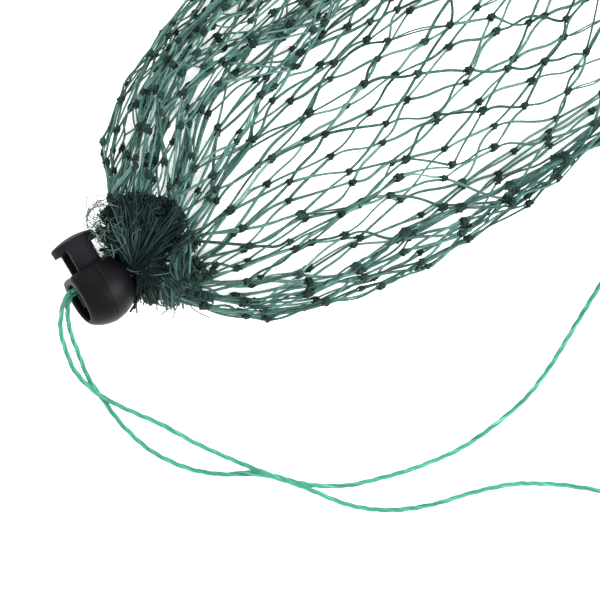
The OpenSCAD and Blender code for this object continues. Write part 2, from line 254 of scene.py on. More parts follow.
def twine_material(name, stops, rough=(0.42, 0.62), plies=3.0, pitch=2.6, depth=0.00009, sheen=0.25, spec=0.4, streak=0.3, groove=0.09):
    """Twisted multifilament twine: plies wound along the strand, fine filaments, uneven dye, painted shade in the
    grooves between plies and a dull shine.
    """
    m, t, b = new_material(name)
    uv = node(t, "ShaderNodeUVMap", uv_map="Twist")
    part = node(t, "ShaderNodeSeparateXYZ")
    link(t, uv.outputs[0], part.inputs[0])

    def wound(count, length):
        a = node(t, "ShaderNodeMath", operation="MULTIPLY", in_1=count * 2 * math.pi)
        link(t, part.outputs["X"], a.inputs[0])
        c = node(t, "ShaderNodeMath", operation="MULTIPLY_ADD", in_1=2 * math.pi / length)
        link(t, part.outputs["Y"], c.inputs[0])
        link(t, a.outputs[0], c.inputs[2])
        s = node(t, "ShaderNodeMath", operation="SINE")
        link(t, c.outputs[0], s.inputs[0])
        return s

    ply, fine = wound(plies, pitch), wound(plies * 4, pitch * 1.3)
    where = node(t, "ShaderNodeNewGeometry")
    cloud = node(t, "ShaderNodeTexNoise", in_2=900.0, in_3=3.0, in_4=0.6)
    link(t, where.outputs["Position"], cloud.inputs[0])
    large = node(t, "ShaderNodeTexNoise", in_2=75.0, in_3=2.0, in_4=0.5)
    link(t, where.outputs["Position"], large.inputs[0])
    tint = node(t, "ShaderNodeAttribute", attribute_name="tint")
    # tint + uneven dye + painted shade in the grooves between the plies
    one = node(t, "ShaderNodeMath", operation="MULTIPLY_ADD", in_1=streak, in_2=-streak / 2)
    link(t, cloud.outputs[0], one.inputs[0])
    two = node(t, "ShaderNodeMath", operation="MULTIPLY_ADD", in_1=streak, in_2=-streak / 2)
    link(t, large.outputs[0], two.inputs[0])
    three = node(t, "ShaderNodeMath", operation="ADD")
    link(t, one.outputs[0], three.inputs[0])
    link(t, two.outputs[0], three.inputs[1])
    four = node(t, "ShaderNodeMath", operation="ADD")
    link(t, three.outputs[0], four.inputs[0])
    link(t, tint.outputs["Fac"], four.inputs[1])
    groove = node(t, "ShaderNodeMath", operation="MULTIPLY_ADD", in_1=groove)
    link(t, ply.outputs[0], groove.inputs[0])
    link(t, four.outputs[0], groove.inputs[2])
    # painted shade along the fine filaments as well
    five = node(t, "ShaderNodeMath", operation="MULTIPLY_ADD", in_1=0.04)
    link(t, fine.outputs[0], five.inputs[0])
    link(t, groove.outputs[0], five.inputs[2])
    colour = ramp(t, stops)
    link(t, five.outputs[0], colour.inputs[0])
    link(t, colour.outputs[0], b.inputs["Base Color"])
    r = node(t, "ShaderNodeMapRange")
    r.inputs["To Min"].default_value, r.inputs["To Max"].default_value = rough
    link(t, cloud.outputs[0], r.inputs["Value"])
    link(t, r.outputs[0], b.inputs["Roughness"])
    h = node(t, "ShaderNodeMath", operation="MULTIPLY_ADD", in_1=0.45)
    link(t, fine.outputs[0], h.inputs[0])
    link(t, ply.outputs[0], h.inputs[2])
    bump = node(t, "ShaderNodeBump")
    bump.inputs["Strength"].default_value = 0.7
    bump.inputs["Distance"].default_value = depth
    link(t, h.outputs[0], bump.inputs["Height"])
    link(t, bump.outputs[0], b.inputs["Normal"])
    b.inputs["Sheen Weight"].default_value = sheen
    b.inputs["Sheen Roughness"].default_value = 0.45
    b.inputs["Specular IOR Level"].default_value = spec
    return m


NET_STOPS = [(0.0, (0.0016, 0.0052, 0.0046)), (0.25, (0.0054, 0.0178, 0.0152)), (0.5, (0.0172, 0.055, 0.0458)), (0.78, (0.0575, 0.135, 0.1145)), (1.0, (0.128, 0.23, 0.198))]
twine = twine_material("netting twine", NET_STOPS, sheen=0.03, spec=0.08)
selvage = twine_material("frayed selvage", [(0.0, (0.0017, 0.0034, 0.0034)), (0.3, (0.0056, 0.0124, 0.0118)), (0.55, (0.0142, 0.0308, 0.0288)), (0.8, (0.038, 0.074, 0.068)), (1.0, (0.125, 0.17, 0.152))], plies=2.0, pitch=3.5, sheen=0.0, spec=0.05)
cord_green = twine_material("drawstring cord", [(0.0, (0.005, 0.05, 0.029)), (0.35, (0.013, 0.112, 0.069)), (0.6, (0.03, 0.186, 0.124)), (0.82, (0.062, 0.268, 0.2)), (1.0, (0.15, 0.37, 0.3))], rough=(0.3, 0.44), plies=2.0, pitch=4.6, depth=0.00004, sheen=0.05, spec=0.2, streak=0.24, groove=0.05)


def moulded(name, base, grain, spec=0.03, rough=(0.4, 0.54)):
    """Black moulded plastic: spark-eroded grain, slight unevenness of the shine, a painted highlight on the sharp
    edges.
    """
    m, t, b = new_material(name)
    where = node(t, "ShaderNodeNewGeometry")
    fine = node(t, "ShaderNodeTexNoise", in_2=grain, in_3=3.0, in_4=0.6)
    link(t, where.outputs["Position"], fine.inputs[0])
    large = node(t, "ShaderNodeTexNoise", in_2=160.0, in_3=4.0, in_4=0.6)
    link(t, where.outputs["Position"], large.inputs[0])
    colour = ramp(t, [(0.35, base), (0.62, tuple(x * 1.35 for x in base)), (0.8, tuple(x * 2.1 for x in base))])
    link(t, large.outputs[0], colour.inputs[0])
    # painted highlight: the sharp convex edges are blended to a paler pinkish grey, standing in for the grazing
    # reflection on the rims
    edge_glint = node(t, "ShaderNodeMapRange")
    edge_glint.inputs["From Min"].default_value, edge_glint.inputs["From Max"].default_value = 0.56, 0.74
    link(t, where.outputs["Pointiness"], edge_glint.inputs["Value"])
    mix = node(t, "ShaderNodeMix", data_type="RGBA")
    mix.inputs[7].default_value = (0.017, 0.0158, 0.0158, 1)
    link(t, edge_glint.outputs[0], mix.inputs[0])
    link(t, colour.outputs[0], mix.inputs[6])
    link(t, mix.outputs[2], b.inputs["Base Color"])
    r = node(t, "ShaderNodeMapRange")
    r.inputs["To Min"].default_value, r.inputs["To Max"].default_value = rough
    link(t, large.outputs[0], r.inputs["Value"])
    link(t, r.outputs[0], b.inputs["Roughness"])
    bump = node(t, "ShaderNodeBump")
    bump.inputs["Strength"].default_value = 0.25
    bump.inputs["Distance"].default_value = 0.00004
    link(t, fine.outputs[0], bump.inputs["Height"])
    link(t, bump.outputs[0], b.inputs["Normal"])
    b.inputs["Specular IOR Level"].default_value = spec
    return m


def steel(name):
    m, t, b = new_material(name)
    where = node(t, "ShaderNodeNewGeometry")
    drawn = node(t, "ShaderNodeTexNoise", in_2=2500.0, in_3=3.0, in_4=0.6)
    link(t, where.outputs["Position"], drawn.inputs[0])
    colour = ramp(t, [(0.3, (0.32, 0.32, 0.33)), (0.7, (0.55, 0.55, 0.56))])
    link(t, drawn.outputs[0], colour.inputs[0])
    link(t, colour.outputs[0], b.inputs["Base Color"])
    r = node(t, "ShaderNodeMapRange")
    r.inputs["To Min"].default_value, r.inputs["To Max"].default_value = 0.28, 0.42
    link(t, drawn.outputs[0], r.inputs["Value"])
    link(t, r.outputs[0], b.inputs["Roughness"])
    b.inputs["Metallic"].default_value = 1.0
    return m


for name, material in (("lock_barrel", moulded("black barrel plastic", (0.0015, 0.00145, 0.0021), 5200.0, 0.055, (0.36, 0.5))),
                       ("lock_plunger", moulded("black plunger plastic", (0.0062, 0.006, 0.0073), 4600.0, 0.025))):
    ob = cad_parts[name]
    if not ob.material_slots:
        ob.data.materials.append(material)
    for s in ob.material_slots:
        s.material = material

# ---------------------------------------------------------------- camera, floor and light

cam = bpy.data.cameras.new("camera")
cam.sensor_width = 36.0
cam.lens = 36.0 * 900.0 / 133.68
cam.dof.use_dof = False
camera = bpy.data.objects.new("camera", cam)
bpy.context.scene.collection.objects.link(camera)
camera.location = (-0.11756, -0.02748, 0.9)
camera.rotation_euler = (0, 0, math.radians(-38))
bpy.context.scene.camera = camera

me = bpy.data.meshes.new("floor")
me.from_pydata([(-4, -4, 0), (4, -4, 0), (4, 4, 0), (-4, 4, 0)], [], [(0, 1, 2, 3)])
floor = bpy.data.objects.new("floor", me)
floor.location = (0, 0, -0.0002)
bpy.context.scene.collection.objects.link(floor)
m, t, b = new_material("pale floor")
b.inputs["Base Color"].default_value = (0.95, 0.95, 0.95, 1)
b.inputs["Emission Color"].default_value = (1, 1, 1, 1)
b.inputs["Emission Strength"].default_value = 0.3
b.inputs["Roughness"].default_value = 0.9
b.inputs["Specular IOR Level"].default_value = 0.1
me.materials.append(m)

world = bpy.data.worlds.new("studio")
world.use_nodes = True
world.node_tree.nodes["Background"].inputs[0].default_value = (1, 1, 1, 1)
world.node_tree.nodes["Background"].inputs[1].default_value = 2.0
bpy.context.scene.world = world
bpy.context.scene.view_settings.view_transform = "Standard"
bpy.context.scene.view_settings.look = "None"


def area(name, at, towards, size, power):
    d = bpy.data.lights.new(name, "AREA")
    d.shape, d.size, d.energy = "DISK", size, power
    o = bpy.data.objects.new(name, d)
    bpy.context.scene.collection.objects.link(o)
    o.location = at
    o.rotation_euler = (Vector(towards) - Vector(at)).to_track_quat("-Z", "Y").to_euler()
    return o


centre = Vector((-0.12, -0.02, 0.0))
right = Vector((0.788, -0.616, 0.0))
upward = Vector((0.616, 0.788, 0.0))
area("key", centre + right * 0.9 - upward * 0.12 + Vector((0, 0, 0.6)), centre, 0.8, 26.0)
area("fill", centre - right * 0.5 + upward * 0.7 + Vector((0, 0, 0.9)), centre, 0.9, 5.0)

# ---------------------------------------------------------------- drawstring

H = np.array([-0.951907, 0.133782, 0.275637])
T = np.array([0.272954, -0.038361, 0.961262])
W = np.array([0.139173, 0.990268, 0.0])
BALL = np.array([-9.66, 1.62, 8.3])
STRANDS = {"a": (-10.8, -1.4, 2.2), "b": (-11.3, -2.5, 1.6)}


def lock_point(x, y, z):
    return BALL + x * H + y * T + z * W


def across_lock(name, direction, offset=0.0):
    """Distance of a point of the lock's surface from a plane through its ball, in metres, as a shader node."""
    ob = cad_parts[name]
    tree = ob.material_slots[0].material.node_tree
    local = ob.matrix_world.inverted()
    turned = (local.to_3x3() @ Vector(direction)).normalized()
    where = node(tree, "ShaderNodeTexCoord")
    dot = node(tree, "ShaderNodeVectorMath", operation="DOT_PRODUCT")
    dot.inputs[1].default_value = turned
    link(tree, where.outputs["Object"], dot.inputs[0])
    out = node(tree, "ShaderNodeMath", operation="SUBTRACT", in_1=turned.dot(local @ Vector(to_row(BALL + offset * direction))))
    link(tree, dot.outputs["Value"], out.inputs[0])
    return tree, out


def shaded(distance, near, far, colour, tree):
    """Paints shade or a highlight into the plastic's colour: blends it towards another one where a distance is small.
    """
    part = node(tree, "ShaderNodeMapRange")
    part.interpolation_type = "SMOOTHSTEP"
    part.inputs["From Min"].default_value, part.inputs["From Max"].default_value = near, far
    part.inputs["To Min"].default_value, part.inputs["To Max"].default_value = 1.0, 0.0
    link(tree, distance.outputs[0], part.inputs["Value"])
    base = next(n for n in tree.nodes if n.bl_idname == "ShaderNodeBsdfPrincipled").inputs["Base Color"]
    mix = node(tree, "ShaderNodeMix", data_type="RGBA")
    mix.inputs[7].default_value = (*colour, 1)
    link(tree, part.outputs[0], mix.inputs[0])
    link(tree, base.links[0].from_socket, mix.inputs[6])
    link(tree, mix.outputs[2], base)


# the moulding line round the ball, painted: a painted highlight on one side of a dark line of painted shade; painted
# shade inside the cord hole and on the plunger where it is inside the barrel
for offset, near, far, colour in ((-0.3, 0.00012, 0.00055, (0.0034, 0.0033, 0.004)), (0.0, 0.00006, 0.0002, (0.0003, 0.0003, 0.0003))):
    tree, out = across_lock("lock_barrel", H, offset)
    away = node(tree, "ShaderNodeMath", operation="ABSOLUTE")
    link(tree, out.outputs[0], away.inputs[0])
    shaded(away, near, far, colour, tree)
# painted shade: the barrel's surface within about 4.2 mm of the cord hole's axis is darkened to near black
tree, aside = across_lock("lock_barrel", T)
tree, above = across_lock("lock_barrel", W, -0.9)
square = node(tree, "ShaderNodeMath", operation="MULTIPLY")
link(tree, aside.outputs[0], square.inputs[0])
link(tree, aside.outputs[0], square.inputs[1])
both = node(tree, "ShaderNodeMath", operation="MULTIPLY_ADD")
link(tree, above.outputs[0], both.inputs[0])
link(tree, above.outputs[0], both.inputs[1])
link(tree, square.outputs[0], both.inputs[2])
reach = node(tree, "ShaderNodeMath", operation="SQRT")
link(tree, both.outputs[0], reach.inputs[0])
shaded(reach, 0.0042, 0.00455, (0.0004, 0.0004, 0.0004), tree)
# painted shade: the plunger is darkened below about 4.2 mm above the ball's centre, where it is inside the barrel
tree, out = across_lock("lock_plunger", W, 0.0)
shaded(out, 0.0042, 0.0052, (0.0006, 0.0006, 0.0007), tree)

ROUTE_A = [
    [-16.3, 4.4, 8.6], [-18.2, 3.55, 7], [-20.1, 2, 4.6], [-22.1, -0.1, 2.6],
    [-24, -4, 1.2], [-25.5, -9.5, 0.6], [-25, -14.5, 1.75], [-24, -18, 1.85],
    [-21.5, -23.5, 0.6], [-17.5, -31, 0.6], [-14, -39, 0.6], [-9.5, -47.5, 0.6],
    [-5, -55, 0.6], [0, -61.5, 0.6], [6, -66.5, 0.6], [13, -70, 0.6],
    [22, -73.5, 0.6], [32, -76, 0.6], [42, -76.5, 0.6], [50, -76, 0.6],
    [58, -74, 0.6], [67.5, -70.5, 0.6], [75.5, -67.5, 0.6], [82, -65.5, 0.6],
    [87, -66.5, 0.6], [89.5, -71, 0.6], [88, -76.5, 0.6], [83.5, -82, 0.8],
    [79, -86.5, 1.3], [75, -90.2, 1.8]]
ROUTE_B = [
    [-16.4, 3.6, 7.3], [-18, 2.35, 5.3], [-19.6, 0.3, 2.9], [-20.8, -2, 1.4],
    [-22, -5.5, 0.6], [-24, -12.5, 0.6], [-24.5, -19.5, 0.6], [-24.5, -26, 0.6],
    [-23, -34, 0.6], [-19, -42, 0.6], [-14, -47.6, 0.6], [-9, -51.3, 0.6],
    [-5.3, -55.2, 0.6], [-1.2, -61.3, 0.6], [4, -70.2, 0.6], [10, -76.5, 0.6],
    [18, -81.5, 0.6], [28, -85.5, 0.6], [36, -89.5, 0.6], [43, -95, 0.6],
    [48.5, -100.5, 0.6], [52.5, -105, 0.6], [57, -107.5, 0.6], [62, -106, 0.6],
    [66.5, -101, 0.8], [69.5, -96.5, 1.3], [72, -92.8, 1.8]]
KNOT = np.array([73.5, -91.5, 1.9])


def twisted(strands, path, pitch=11.0, seed=0, sides=8, loose=None, start=0.0, per=0.55, taper=0.0):
    """Three plies wound about a path, a little looser here and there, as the thin cord is."""
    p = even(path, max(6, int(length_of(path) / per)))
    k = len(p)
    t = np.empty_like(p)
    t[1:-1], t[0], t[-1] = p[2:] - p[:-2], p[1] - p[0], p[-1] - p[-2]
    t = unit(t)
    ref = np.array([0, 0, 1.0]) if abs(t[0, 2]) < 0.9 else np.array([1.0, 0, 0])
    n = np.empty_like(p)
    last = unit(ref - ref.dot(t[0]) * t[0])
    for i in range(k):
        last = unit(last - last.dot(t[i]) * t[i])
        n[i] = last
    b = np.cross(t, n)
    run = np.concatenate([[0], np.cumsum(np.linalg.norm(np.diff(p, axis=0), axis=1))])
    r = np.random.default_rng(seed)
    knots = np.arange(0, run[-1] + 9, 9)
    turn = start + 2 * math.pi * run / pitch + np.interp(run, knots, np.cumsum(r.normal(0, 0.5, len(knots))))
    apart = np.interp(run, knots, r.uniform(0.24, 0.3, len(knots)))
    if loose is not None:
        for at, wide, more in loose:
            apart = apart + more * np.exp(-((run - at) / wide) ** 2)
    hold = 1 - taper * step(run, run[-1] - 3, run[-1])
    for s in (0, 2 * math.pi / 3, 4 * math.pi / 3):
        off = apart[:, None] * hold[:, None] * (np.cos(turn + s)[:, None] * n + np.sin(turn + s)[:, None] * b)
        strands.sweep(p + off, 0.31 * hold[None], sides=sides, wide=1.0, flat=1.0,
                      tint=0.50 + 0.022 * s + 0.09 * np.interp(run, knots, r.normal(0, 1, len(knots)))[None], chunk=24)
    return p


for name, route, side, seed in (("drawstring_tail_a_cord", ROUTE_A, "a", 3), ("drawstring_tail_b_cord", ROUTE_B, "b", 4)):
    line = catmull([lock_point(5.5, *STRANDS[side][1:])] + route, 14)
    line[:, 2] = np.maximum(line[:, 2], 0.62)
    s = Strands()
    p = twisted(s, line, seed=seed, loose=[(66.0, 2.6, 0.2), (104.0, 2.0, 0.06)] if seed == 4 else [(47.0, 2.0, 0.08)])
    s.piece(name, cord_green, "cord_lock", "drawstring", [name[:-5]])

# the knot that ties the two tails together: a double overhand, drawn tight, with two cut ends
s = Strands()
t = np.linspace(0, 2 * math.pi, 61)[:-1]
trefoil = np.stack([np.sin(t) + 2 * np.sin(2 * t), np.cos(t) - 2 * np.cos(2 * t), -1.25 * np.sin(3 * t)], 1)
trefoil = np.vstack([trefoil, trefoil[:1]]) * 0.45
turned = np.stack([trefoil[:, 0] * 0.8 - trefoil[:, 1] * 0.6, trefoil[:, 0] * 0.6 + trefoil[:, 1] * 0.8, trefoil[:, 2] + 0.05], 1)
twisted(s, KNOT + turned, pitch=5.0, seed=9, per=0.3)
for tip in ([0.9, 0.4, 0.2], [0.5, 1.0, -0.1]):
    tip = np.array(tip)
    twisted(s, KNOT + np.outer(np.linspace(0.6, 2.35, 7), tip) + np.array([0, 0, 0.1]), seed=11, per=0.3, taper=0.25)
end_knot = s.piece("drawstring_end_knot_tied", cord_green, "cord_lock", "drawstring", ["drawstring_end_knot"])

# the spring in the lock, which shortens as the plunger is pressed
s = Strands()
t = np.linspace(0, 1, 129)
coil = np.stack([lock_point(2.3 * math.cos(8 * math.pi * f), 2.3 * math.sin(8 * math.pi * f), -5.52 + 4.84 * f) for f in t])
s.sweep(coil[None], 0.2, sides=10)
ob = s.piece("lock_spring_coil", steel("spring wire"), None, "spring", ["lock_spring"])
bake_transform(ob, "cord_lock", "plunger", start=tuple(to_row(lock_point(0, 0, -5.5))), end=tuple(to_row(lock_point(0, 0, -0.7))))

# the two strands inside the lock, which pay out as the lock slides
for name, side, seed in (("drawstring_lead_a", "a", 5), ("drawstring_lead_b", "b", 6)):
    s = Strands()
    x, y, z = STRANDS[side]
    twisted(s, np.linspace(lock_point(x, y, z), lock_point(5.55, y, z), 40), seed=seed, per=0.4)
    ob = s.piece(name + "_cord", cord_green, None, "drawstring", [name])
    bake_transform(ob, "net", "cord_lock", start=tuple(to_row(lock_point(x + 0.15, y, z))), end=tuple(to_row(lock_point(5.0, y, z))))

# the drawstring through the meshes of the mouth: in and out between the gathered bars
s = Strands()
t = np.linspace(0, 2 * math.pi, 97)
ring = np.stack([0.9 + 0.35 * np.sin(9 * t), -1.3 + (4.0 + 0.1 * np.cos(18 * t)) * np.cos(t), 6.5 + (4.0 + 0.1 * np.cos(18 * t)) * np.sin(t)], 1)
twisted(s, ring, seed=12, per=0.35)
s.piece("drawstring_loop_cord", cord_green, "net", "drawstring", ["drawstring_loop"])

# ---------------------------------------------------------------- netting

HH = 12.5
# The lying bag: distance, edge on the plunger's side, edge on the other side, middle height, half height
OUTLINE = np.array([
    [-1.2, 2.3, -4.9, 6.5, 3.6], [1.2, 2.8, -4.9, 6.5, 3.6], [2.2, 8.0, -7.0, 6.4, 3.9], [3.6, 16.0, -11.5, 6.2, 4.4],
    [5.0, 19.4, -14.4, 6.1, 4.7], [7.2, 22.2, -17.7, 6.0, 5.2], [12.0, 27.4, -23.6, 5.8, HH * 0.45],
    [16.5, 30.6, -27.3, 5.7, HH * 0.53], [22.0, 33.2, -29.8, 5.6, HH * 0.62], [30.0, 35.5, -34.0, 5.5, HH * 0.70],
    [36.0, 37.5, -36.0, 5.5, HH * 0.76], [43.0, 40.0, -38.7, 5.5, HH * 0.82], [55.0, 41.3, -40.7, 5.5, HH * 0.90],
    [75.0, 42.2, -42.1, 5.5, HH * 0.97], [100.8, 42.6, -42.6, 5.5, HH], [140.0, 43.0, -43.0, 5.5, HH], [179.2, 42.6, -42.6, 5.5, HH],
    [210.0, 40.9, -40.9, 5.5, HH * 0.95], [232.0, 37.4, -37.4, 5.5, HH * 0.83], [250.0, 31.0, -31.0, 5.5, HH * 0.69],
    [262.0, 23.2, -23.2, 5.5, HH * 0.55], [270.0, 15.9, -15.9, 5.5, 6.2], [275.0, 9.5, -9.5, 5.5, 4.8],
    [277.5, 5.5, -5.5, 5.5, 3.9], [278.5, 3.6, -3.6, 5.5, 3.6], [284.0, 3.6, -3.6, 5.5, 3.6]])
RINGS = catmull(OUTLINE, 4)
RINGS = RINGS[np.concatenate([[True], np.diff(np.maximum.accumulate(RINGS[:, 0])) > 1e-6])]


def lie(x):
    """Half width, middle across, middle height and half height of the lying bag at x."""
    plus, minus, c, b = (np.interp(x, RINGS[:, 0], RINGS[:, i]) for i in (1, 2, 3, 4))
    return (plus - minus) / 2, (plus + minus) / 2, c, b


MESHES, ROWS = 60, 24
# Where the columns of meshes lie across the bag, from edge to edge: gathered on one side, open in the middle
FRONT = [0.985, 0.96, 0.935, 0.908, 0.88, 0.852, 0.824, 0.796, 0.768, 0.74, 0.712, 0.684, 0.655, 0.626, 0.596, 0.565, 0.532, 0.495, 0.445, 0.37,
         0.27, 0.12, -0.09, -0.345, -0.57, -0.68, -0.77, -0.85, -0.915, -0.965]
BACK = [-0.98, -0.935, -0.88, -0.81, -0.72, -0.6, -0.46, -0.31, -0.15, 0.0, 0.13, 0.245, 0.345,
        0.43, 0.485, 0.535, 0.58, 0.622, 0.662, 0.7, 0.736, 0.77, 0.803, 0.835, 0.865, 0.893, 0.92, 0.945, 0.967, 0.985]
SIDE = len(FRONT)
THETA = np.concatenate([np.arccos(FRONT), 2 * math.pi - np.arccos(BACK)])
THETA = np.append(THETA, THETA[0] + 2 * math.pi)
GATHER = np.concatenate([np.arccos(np.linspace(0.99, -0.97, SIDE)), 2 * math.pi - np.arccos(np.linspace(-0.99, 0.97, SIDE))])
GATHER = np.append(GATHER, GATHER[0] + 2 * math.pi)
# The gathered columns are drawn together into a band near the mouth: distance and share of the half width
BAND = np.array([[0, 0.35], [13, 0.47], [21, 0.61], [27, 0.70], [35, 0.71], [45, 0.66], [60, 0.56], [80, 0.5]])
ROW_X = np.concatenate([[0, 10.5, 23.6, 37.7], np.linspace(50.7, 229.3, 17), [242.3, 256.4, 269.5, 280.0]])

net_rng = np.random.default_rng(7)
grid_x = np.linspace(-0.6, LENGTH + 0.6, 700)
half_width, sideways, middle, half_height = lie(grid_x)
opened = step(grid_x, 4, 34) * step(LENGTH - grid_x, 4, 34)
folded = np.interp(np.minimum(grid_x, LENGTH - grid_x), [0, 8, 18, 30, 46, 70], [0, 0, 0.6, 1.0, 1.75, 2.0])
knot_at = np.zeros((ROWS + 1, MESHES, 3))
column = np.zeros((ROWS + 1, MESHES))
waves = net_rng.uniform(0, 2 * math.pi, (MESHES * 2, 3))
shared = net_rng.uniform(0, 2 * math.pi, 6)
for half in range(MESHES * 2):
    c = half / 2
    rest = np.interp(c, np.arange(MESHES + 1), THETA)
    start = np.interp(c, np.arange(MESHES + 1), GATHER)
    share = abs(math.cos(rest))
    crowd = float(step(share, 0.4, 0.62)) * (1.0 if math.cos(rest) > 0 else 0.22)
    wander = (0.03 + 0.03 * crowd) * (np.sin(grid_x / 21 + waves[half, 0]) * 0.5 + 0.5 * np.sin(grid_x / 47 + waves[half, 1]))
    drift = 0.03 * np.sin(grid_x / 33 + shared[0] + c * 0.35) + 0.03 * np.sin(grid_x / 75 + shared[1] + c * 0.2)
    theta = start + (rest - start) * opened + (wander + drift) * opened
    # the gathered columns lie in folds over one another
    fold = crowd * (1 - 0.8 * float(step(share, 0.86, 0.97))) * folded * (2.9 * np.sin(2 * math.pi * c / 5.3 + shared[2] + 0.7 * np.sin(grid_x / 38 + shared[3]))
                             + 1.7 * np.sin(2 * math.pi * c / 2.7 + shared[4] + grid_x / 60))
    rise = crowd * np.minimum(folded, 1) * 1.3 * np.cos(2 * math.pi * c / 5.3 + shared[2])
    share_x = np.cos(theta)
    bell = step(share_x, 0.28, 0.46) * (1 - step(share_x, 0.84, 0.96))
    share_x = share_x + 0.42 * crowd * bell * step(grid_x, 4, 14) * (1 - step(grid_x, 48, 95)) * (np.interp(grid_x, BAND[:, 0], BAND[:, 1]) - share_x)
    y = sideways + half_width * share_x + fold
    # netting that would pass the edge of the bag is folded back at it
    y = sideways + half_width * 0.99 * (1 - np.abs(1 - np.abs((y - sideways) / (half_width * 0.99)))) * np.sign(y - sideways)
    z = middle + half_height * np.sin(theta) + rise
    run = np.concatenate([[0], np.cumsum(np.sqrt(np.diff(grid_x) ** 2 + np.diff(y) ** 2 + np.diff(z) ** 2))])
    tight = float(step(share, 0.4, 0.95))
    stagger = crowd * (4.3 * math.sin(2 * math.pi * c / 6.1 + shared[5]) + 2.8 * math.sin(2 * math.pi * c / 3.17 + 1.1)) / run[-1]
    for r in range(ROWS + 1):
        if (r % 2) != (half % 2):
            continue
        n = half // 2
        f = (1 - tight) * ROW_X[r] / LENGTH + tight * r / ROWS
        ease = min(r, ROWS - r)
        f = f + (net_rng.normal(0, 0.0035 + 0.0025 * crowd) + stagger) * min(ease, 2) / 2
        s = np.clip(f, 0, 1) * run[-1]
        knot_at[r, n] = np.interp(s, run, grid_x), np.interp(s, run, y), np.interp(s, run, z)
        column[r, n] = c

# Knots of the open middle of the upper layer, given one by one: (row, column from the first open one): (x, y)
OPEN = 20
PLACED = {
    (2, 0): (23.3, 8.6), (3, -0.5): (34.1, 8.2), (4, 0): (45.6, 10.4), (5, -0.5): (57.6, 15.4),
    (2, 1): (23.8, 2.4), (2, 2): (23.9, -2.9), (2, 3): (23.1, -7.2), (2, 4): (21.9, -11.7),
    (3, 0.5): (37.5, 6.2), (3, 1.5): (38.0, 0.8), (3, 2.5): (37.7, -6.3), (3, 3.5): (36.1, -13.1),
    (4, 1): (50.4, 3.5), (4, 2): (50.6, -2.3), (4, 3): (50.0, -11.8), (4, 4): (47.2, -19.8),
    (5, 0.5): (61.6, 8.4), (5, 1.5): (63.8, 0.9), (5, 2.5): (62.7, -8.6), (5, 3.5): (60.5, -18.2),
    (6, 1): (73.7, 5.4), (6, 2): (74.7, -4.3), (6, 3): (72.4, -14.4), (6, 4): (69.0, -23.8),
    (7, 1.5): (87.0, 0.0), (7, 2.5): (84.4, -10.5), (7, 3.5): (81.0, -20.4), (7, 4.5): (78.0, -28.6),
    (8, 2): (94.9, -5.1), (8, 3): (91.0, -15.9), (8, 4): (88.3, -23.9), (8, 5): (86.7, -33.5),
    (9, 2.5): (101.3, -10.8), (9, 3.5): (98.4, -19.5), (9, 4.5): (96.8, -27.7),
    (10, 3): (108.1, -15.1), (10, 4): (106.4, -23.5)}
keys = np.array(list(PLACED), float) + np.array([0, OPEN])
want = np.array(list(PLACED.values()), float)
have = np.array([knot_at[int(r), int(c), :2] for r, c in keys])


def near(a, b):
    d = a[:, None] - b[None]
    return np.exp(-(d[..., 0] / 2.0) ** 2 - (d[..., 1] / 1.5) ** 2)


pull = np.linalg.solve(near(keys, keys) + 1e-3 * np.eye(len(keys)), want - have)
lattice = np.stack([np.repeat(np.arange(ROWS + 1), MESHES).astype(float), column.ravel()], 1)
upper = (lattice[:, 1] > OPEN - 3) & (lattice[:, 1] < OPEN + 8.6)
flat_knots = knot_at.reshape(-1, 3)
flat_knots[upper, :2] += near(lattice[upper], keys) @ pull
a, m, c, b = lie(flat_knots[upper, 0])
across = np.clip((flat_knots[upper, 1] - m) / a, -0.99, 0.99)
open_knots = step(-np.abs(lattice[upper, 1] - OPEN - 2.5), -4.5, -2.5)
flat_knots[upper, 2] = flat_knots[upper, 2] * (1 - open_knots) + (c + b * np.sqrt(1 - across ** 2)) * open_knots
# a little unevenness, and the lower layer lies on the ground
inner = (lattice[:, 0] > 0) & (lattice[:, 0] < ROWS)
share = np.abs(np.cos(np.interp(lattice[:, 1], np.arange(MESHES + 1), THETA)))
loose = (0.25 + 0.5 * step(share, 0.4, 0.62))[:, None]
flat_knots[inner] += net_rng.normal(0, 1, (inner.sum(), 3)) * np.array([1.0, 1.2, 1.0]) * loose[inner]
# the gathered columns lie across one another at all angles
signed = np.cos(np.interp(lattice[:, 1], np.arange(MESHES + 1), THETA))
tangle = step(signed, 0.45, 0.62) * (1 - 0.75 * step(signed, 0.8, 0.93)) * step(flat_knots[:, 0], 12, 30) * step(LENGTH - flat_knots[:, 0], 12, 30)
tangle_rng = np.random.default_rng(19)
flat_knots[:, 1] += tangle_rng.normal(0, 1.1, len(flat_knots)) * tangle * inner
flat_knots[:, 0] += tangle_rng.normal(0, 1.3, len(flat_knots)) * tangle * inner
a, m, _, _ = lie(flat_knots[:, 0])
flat_knots[:, 1] = np.where(inner, np.clip(flat_knots[:, 1], m - a - 0.2, m + a + 0.2), flat_knots[:, 1])
top = lie(flat_knots[:, 0])
flat_knots[:, 2] = np.clip(flat_knots[:, 2] - 0.5, 0.8 + net_rng.uniform(0, 0.5, len(flat_knots)), top[2] + top[3] - 0.6)
# and the upper layer sags onto it, most where the meshes are open
x, y = flat_knots[:, 0], flat_knots[:, 1]
billow = np.sin(x / 16 + y / 11 + shared[0]) + 0.7 * np.sin(x / 9.5 - y / 17 + shared[1]) + 0.5 * np.sin(y / 6.5 + x / 40)
drop = 0.24 + 0.13 * (1 - step(share, 0.4, 0.62)) + 0.09 * billow
drop = np.clip(drop, 0.0, 0.6) * step(x, 14, 60) * step(LENGTH - x, 10, 50)
flat_knots[:, 2] -= drop * np.maximum(flat_knots[:, 2] - 1.2, 0)
knot_at = flat_knots.reshape(ROWS + 1, MESHES, 3)


def forward(r, n):
    """The two knots of the next row that a knot's bars run to: the one on the lower side, the one on the upper side."""
    return ((n - 1) % MESHES, n) if r % 2 == 0 else (n, (n + 1) % MESHES)


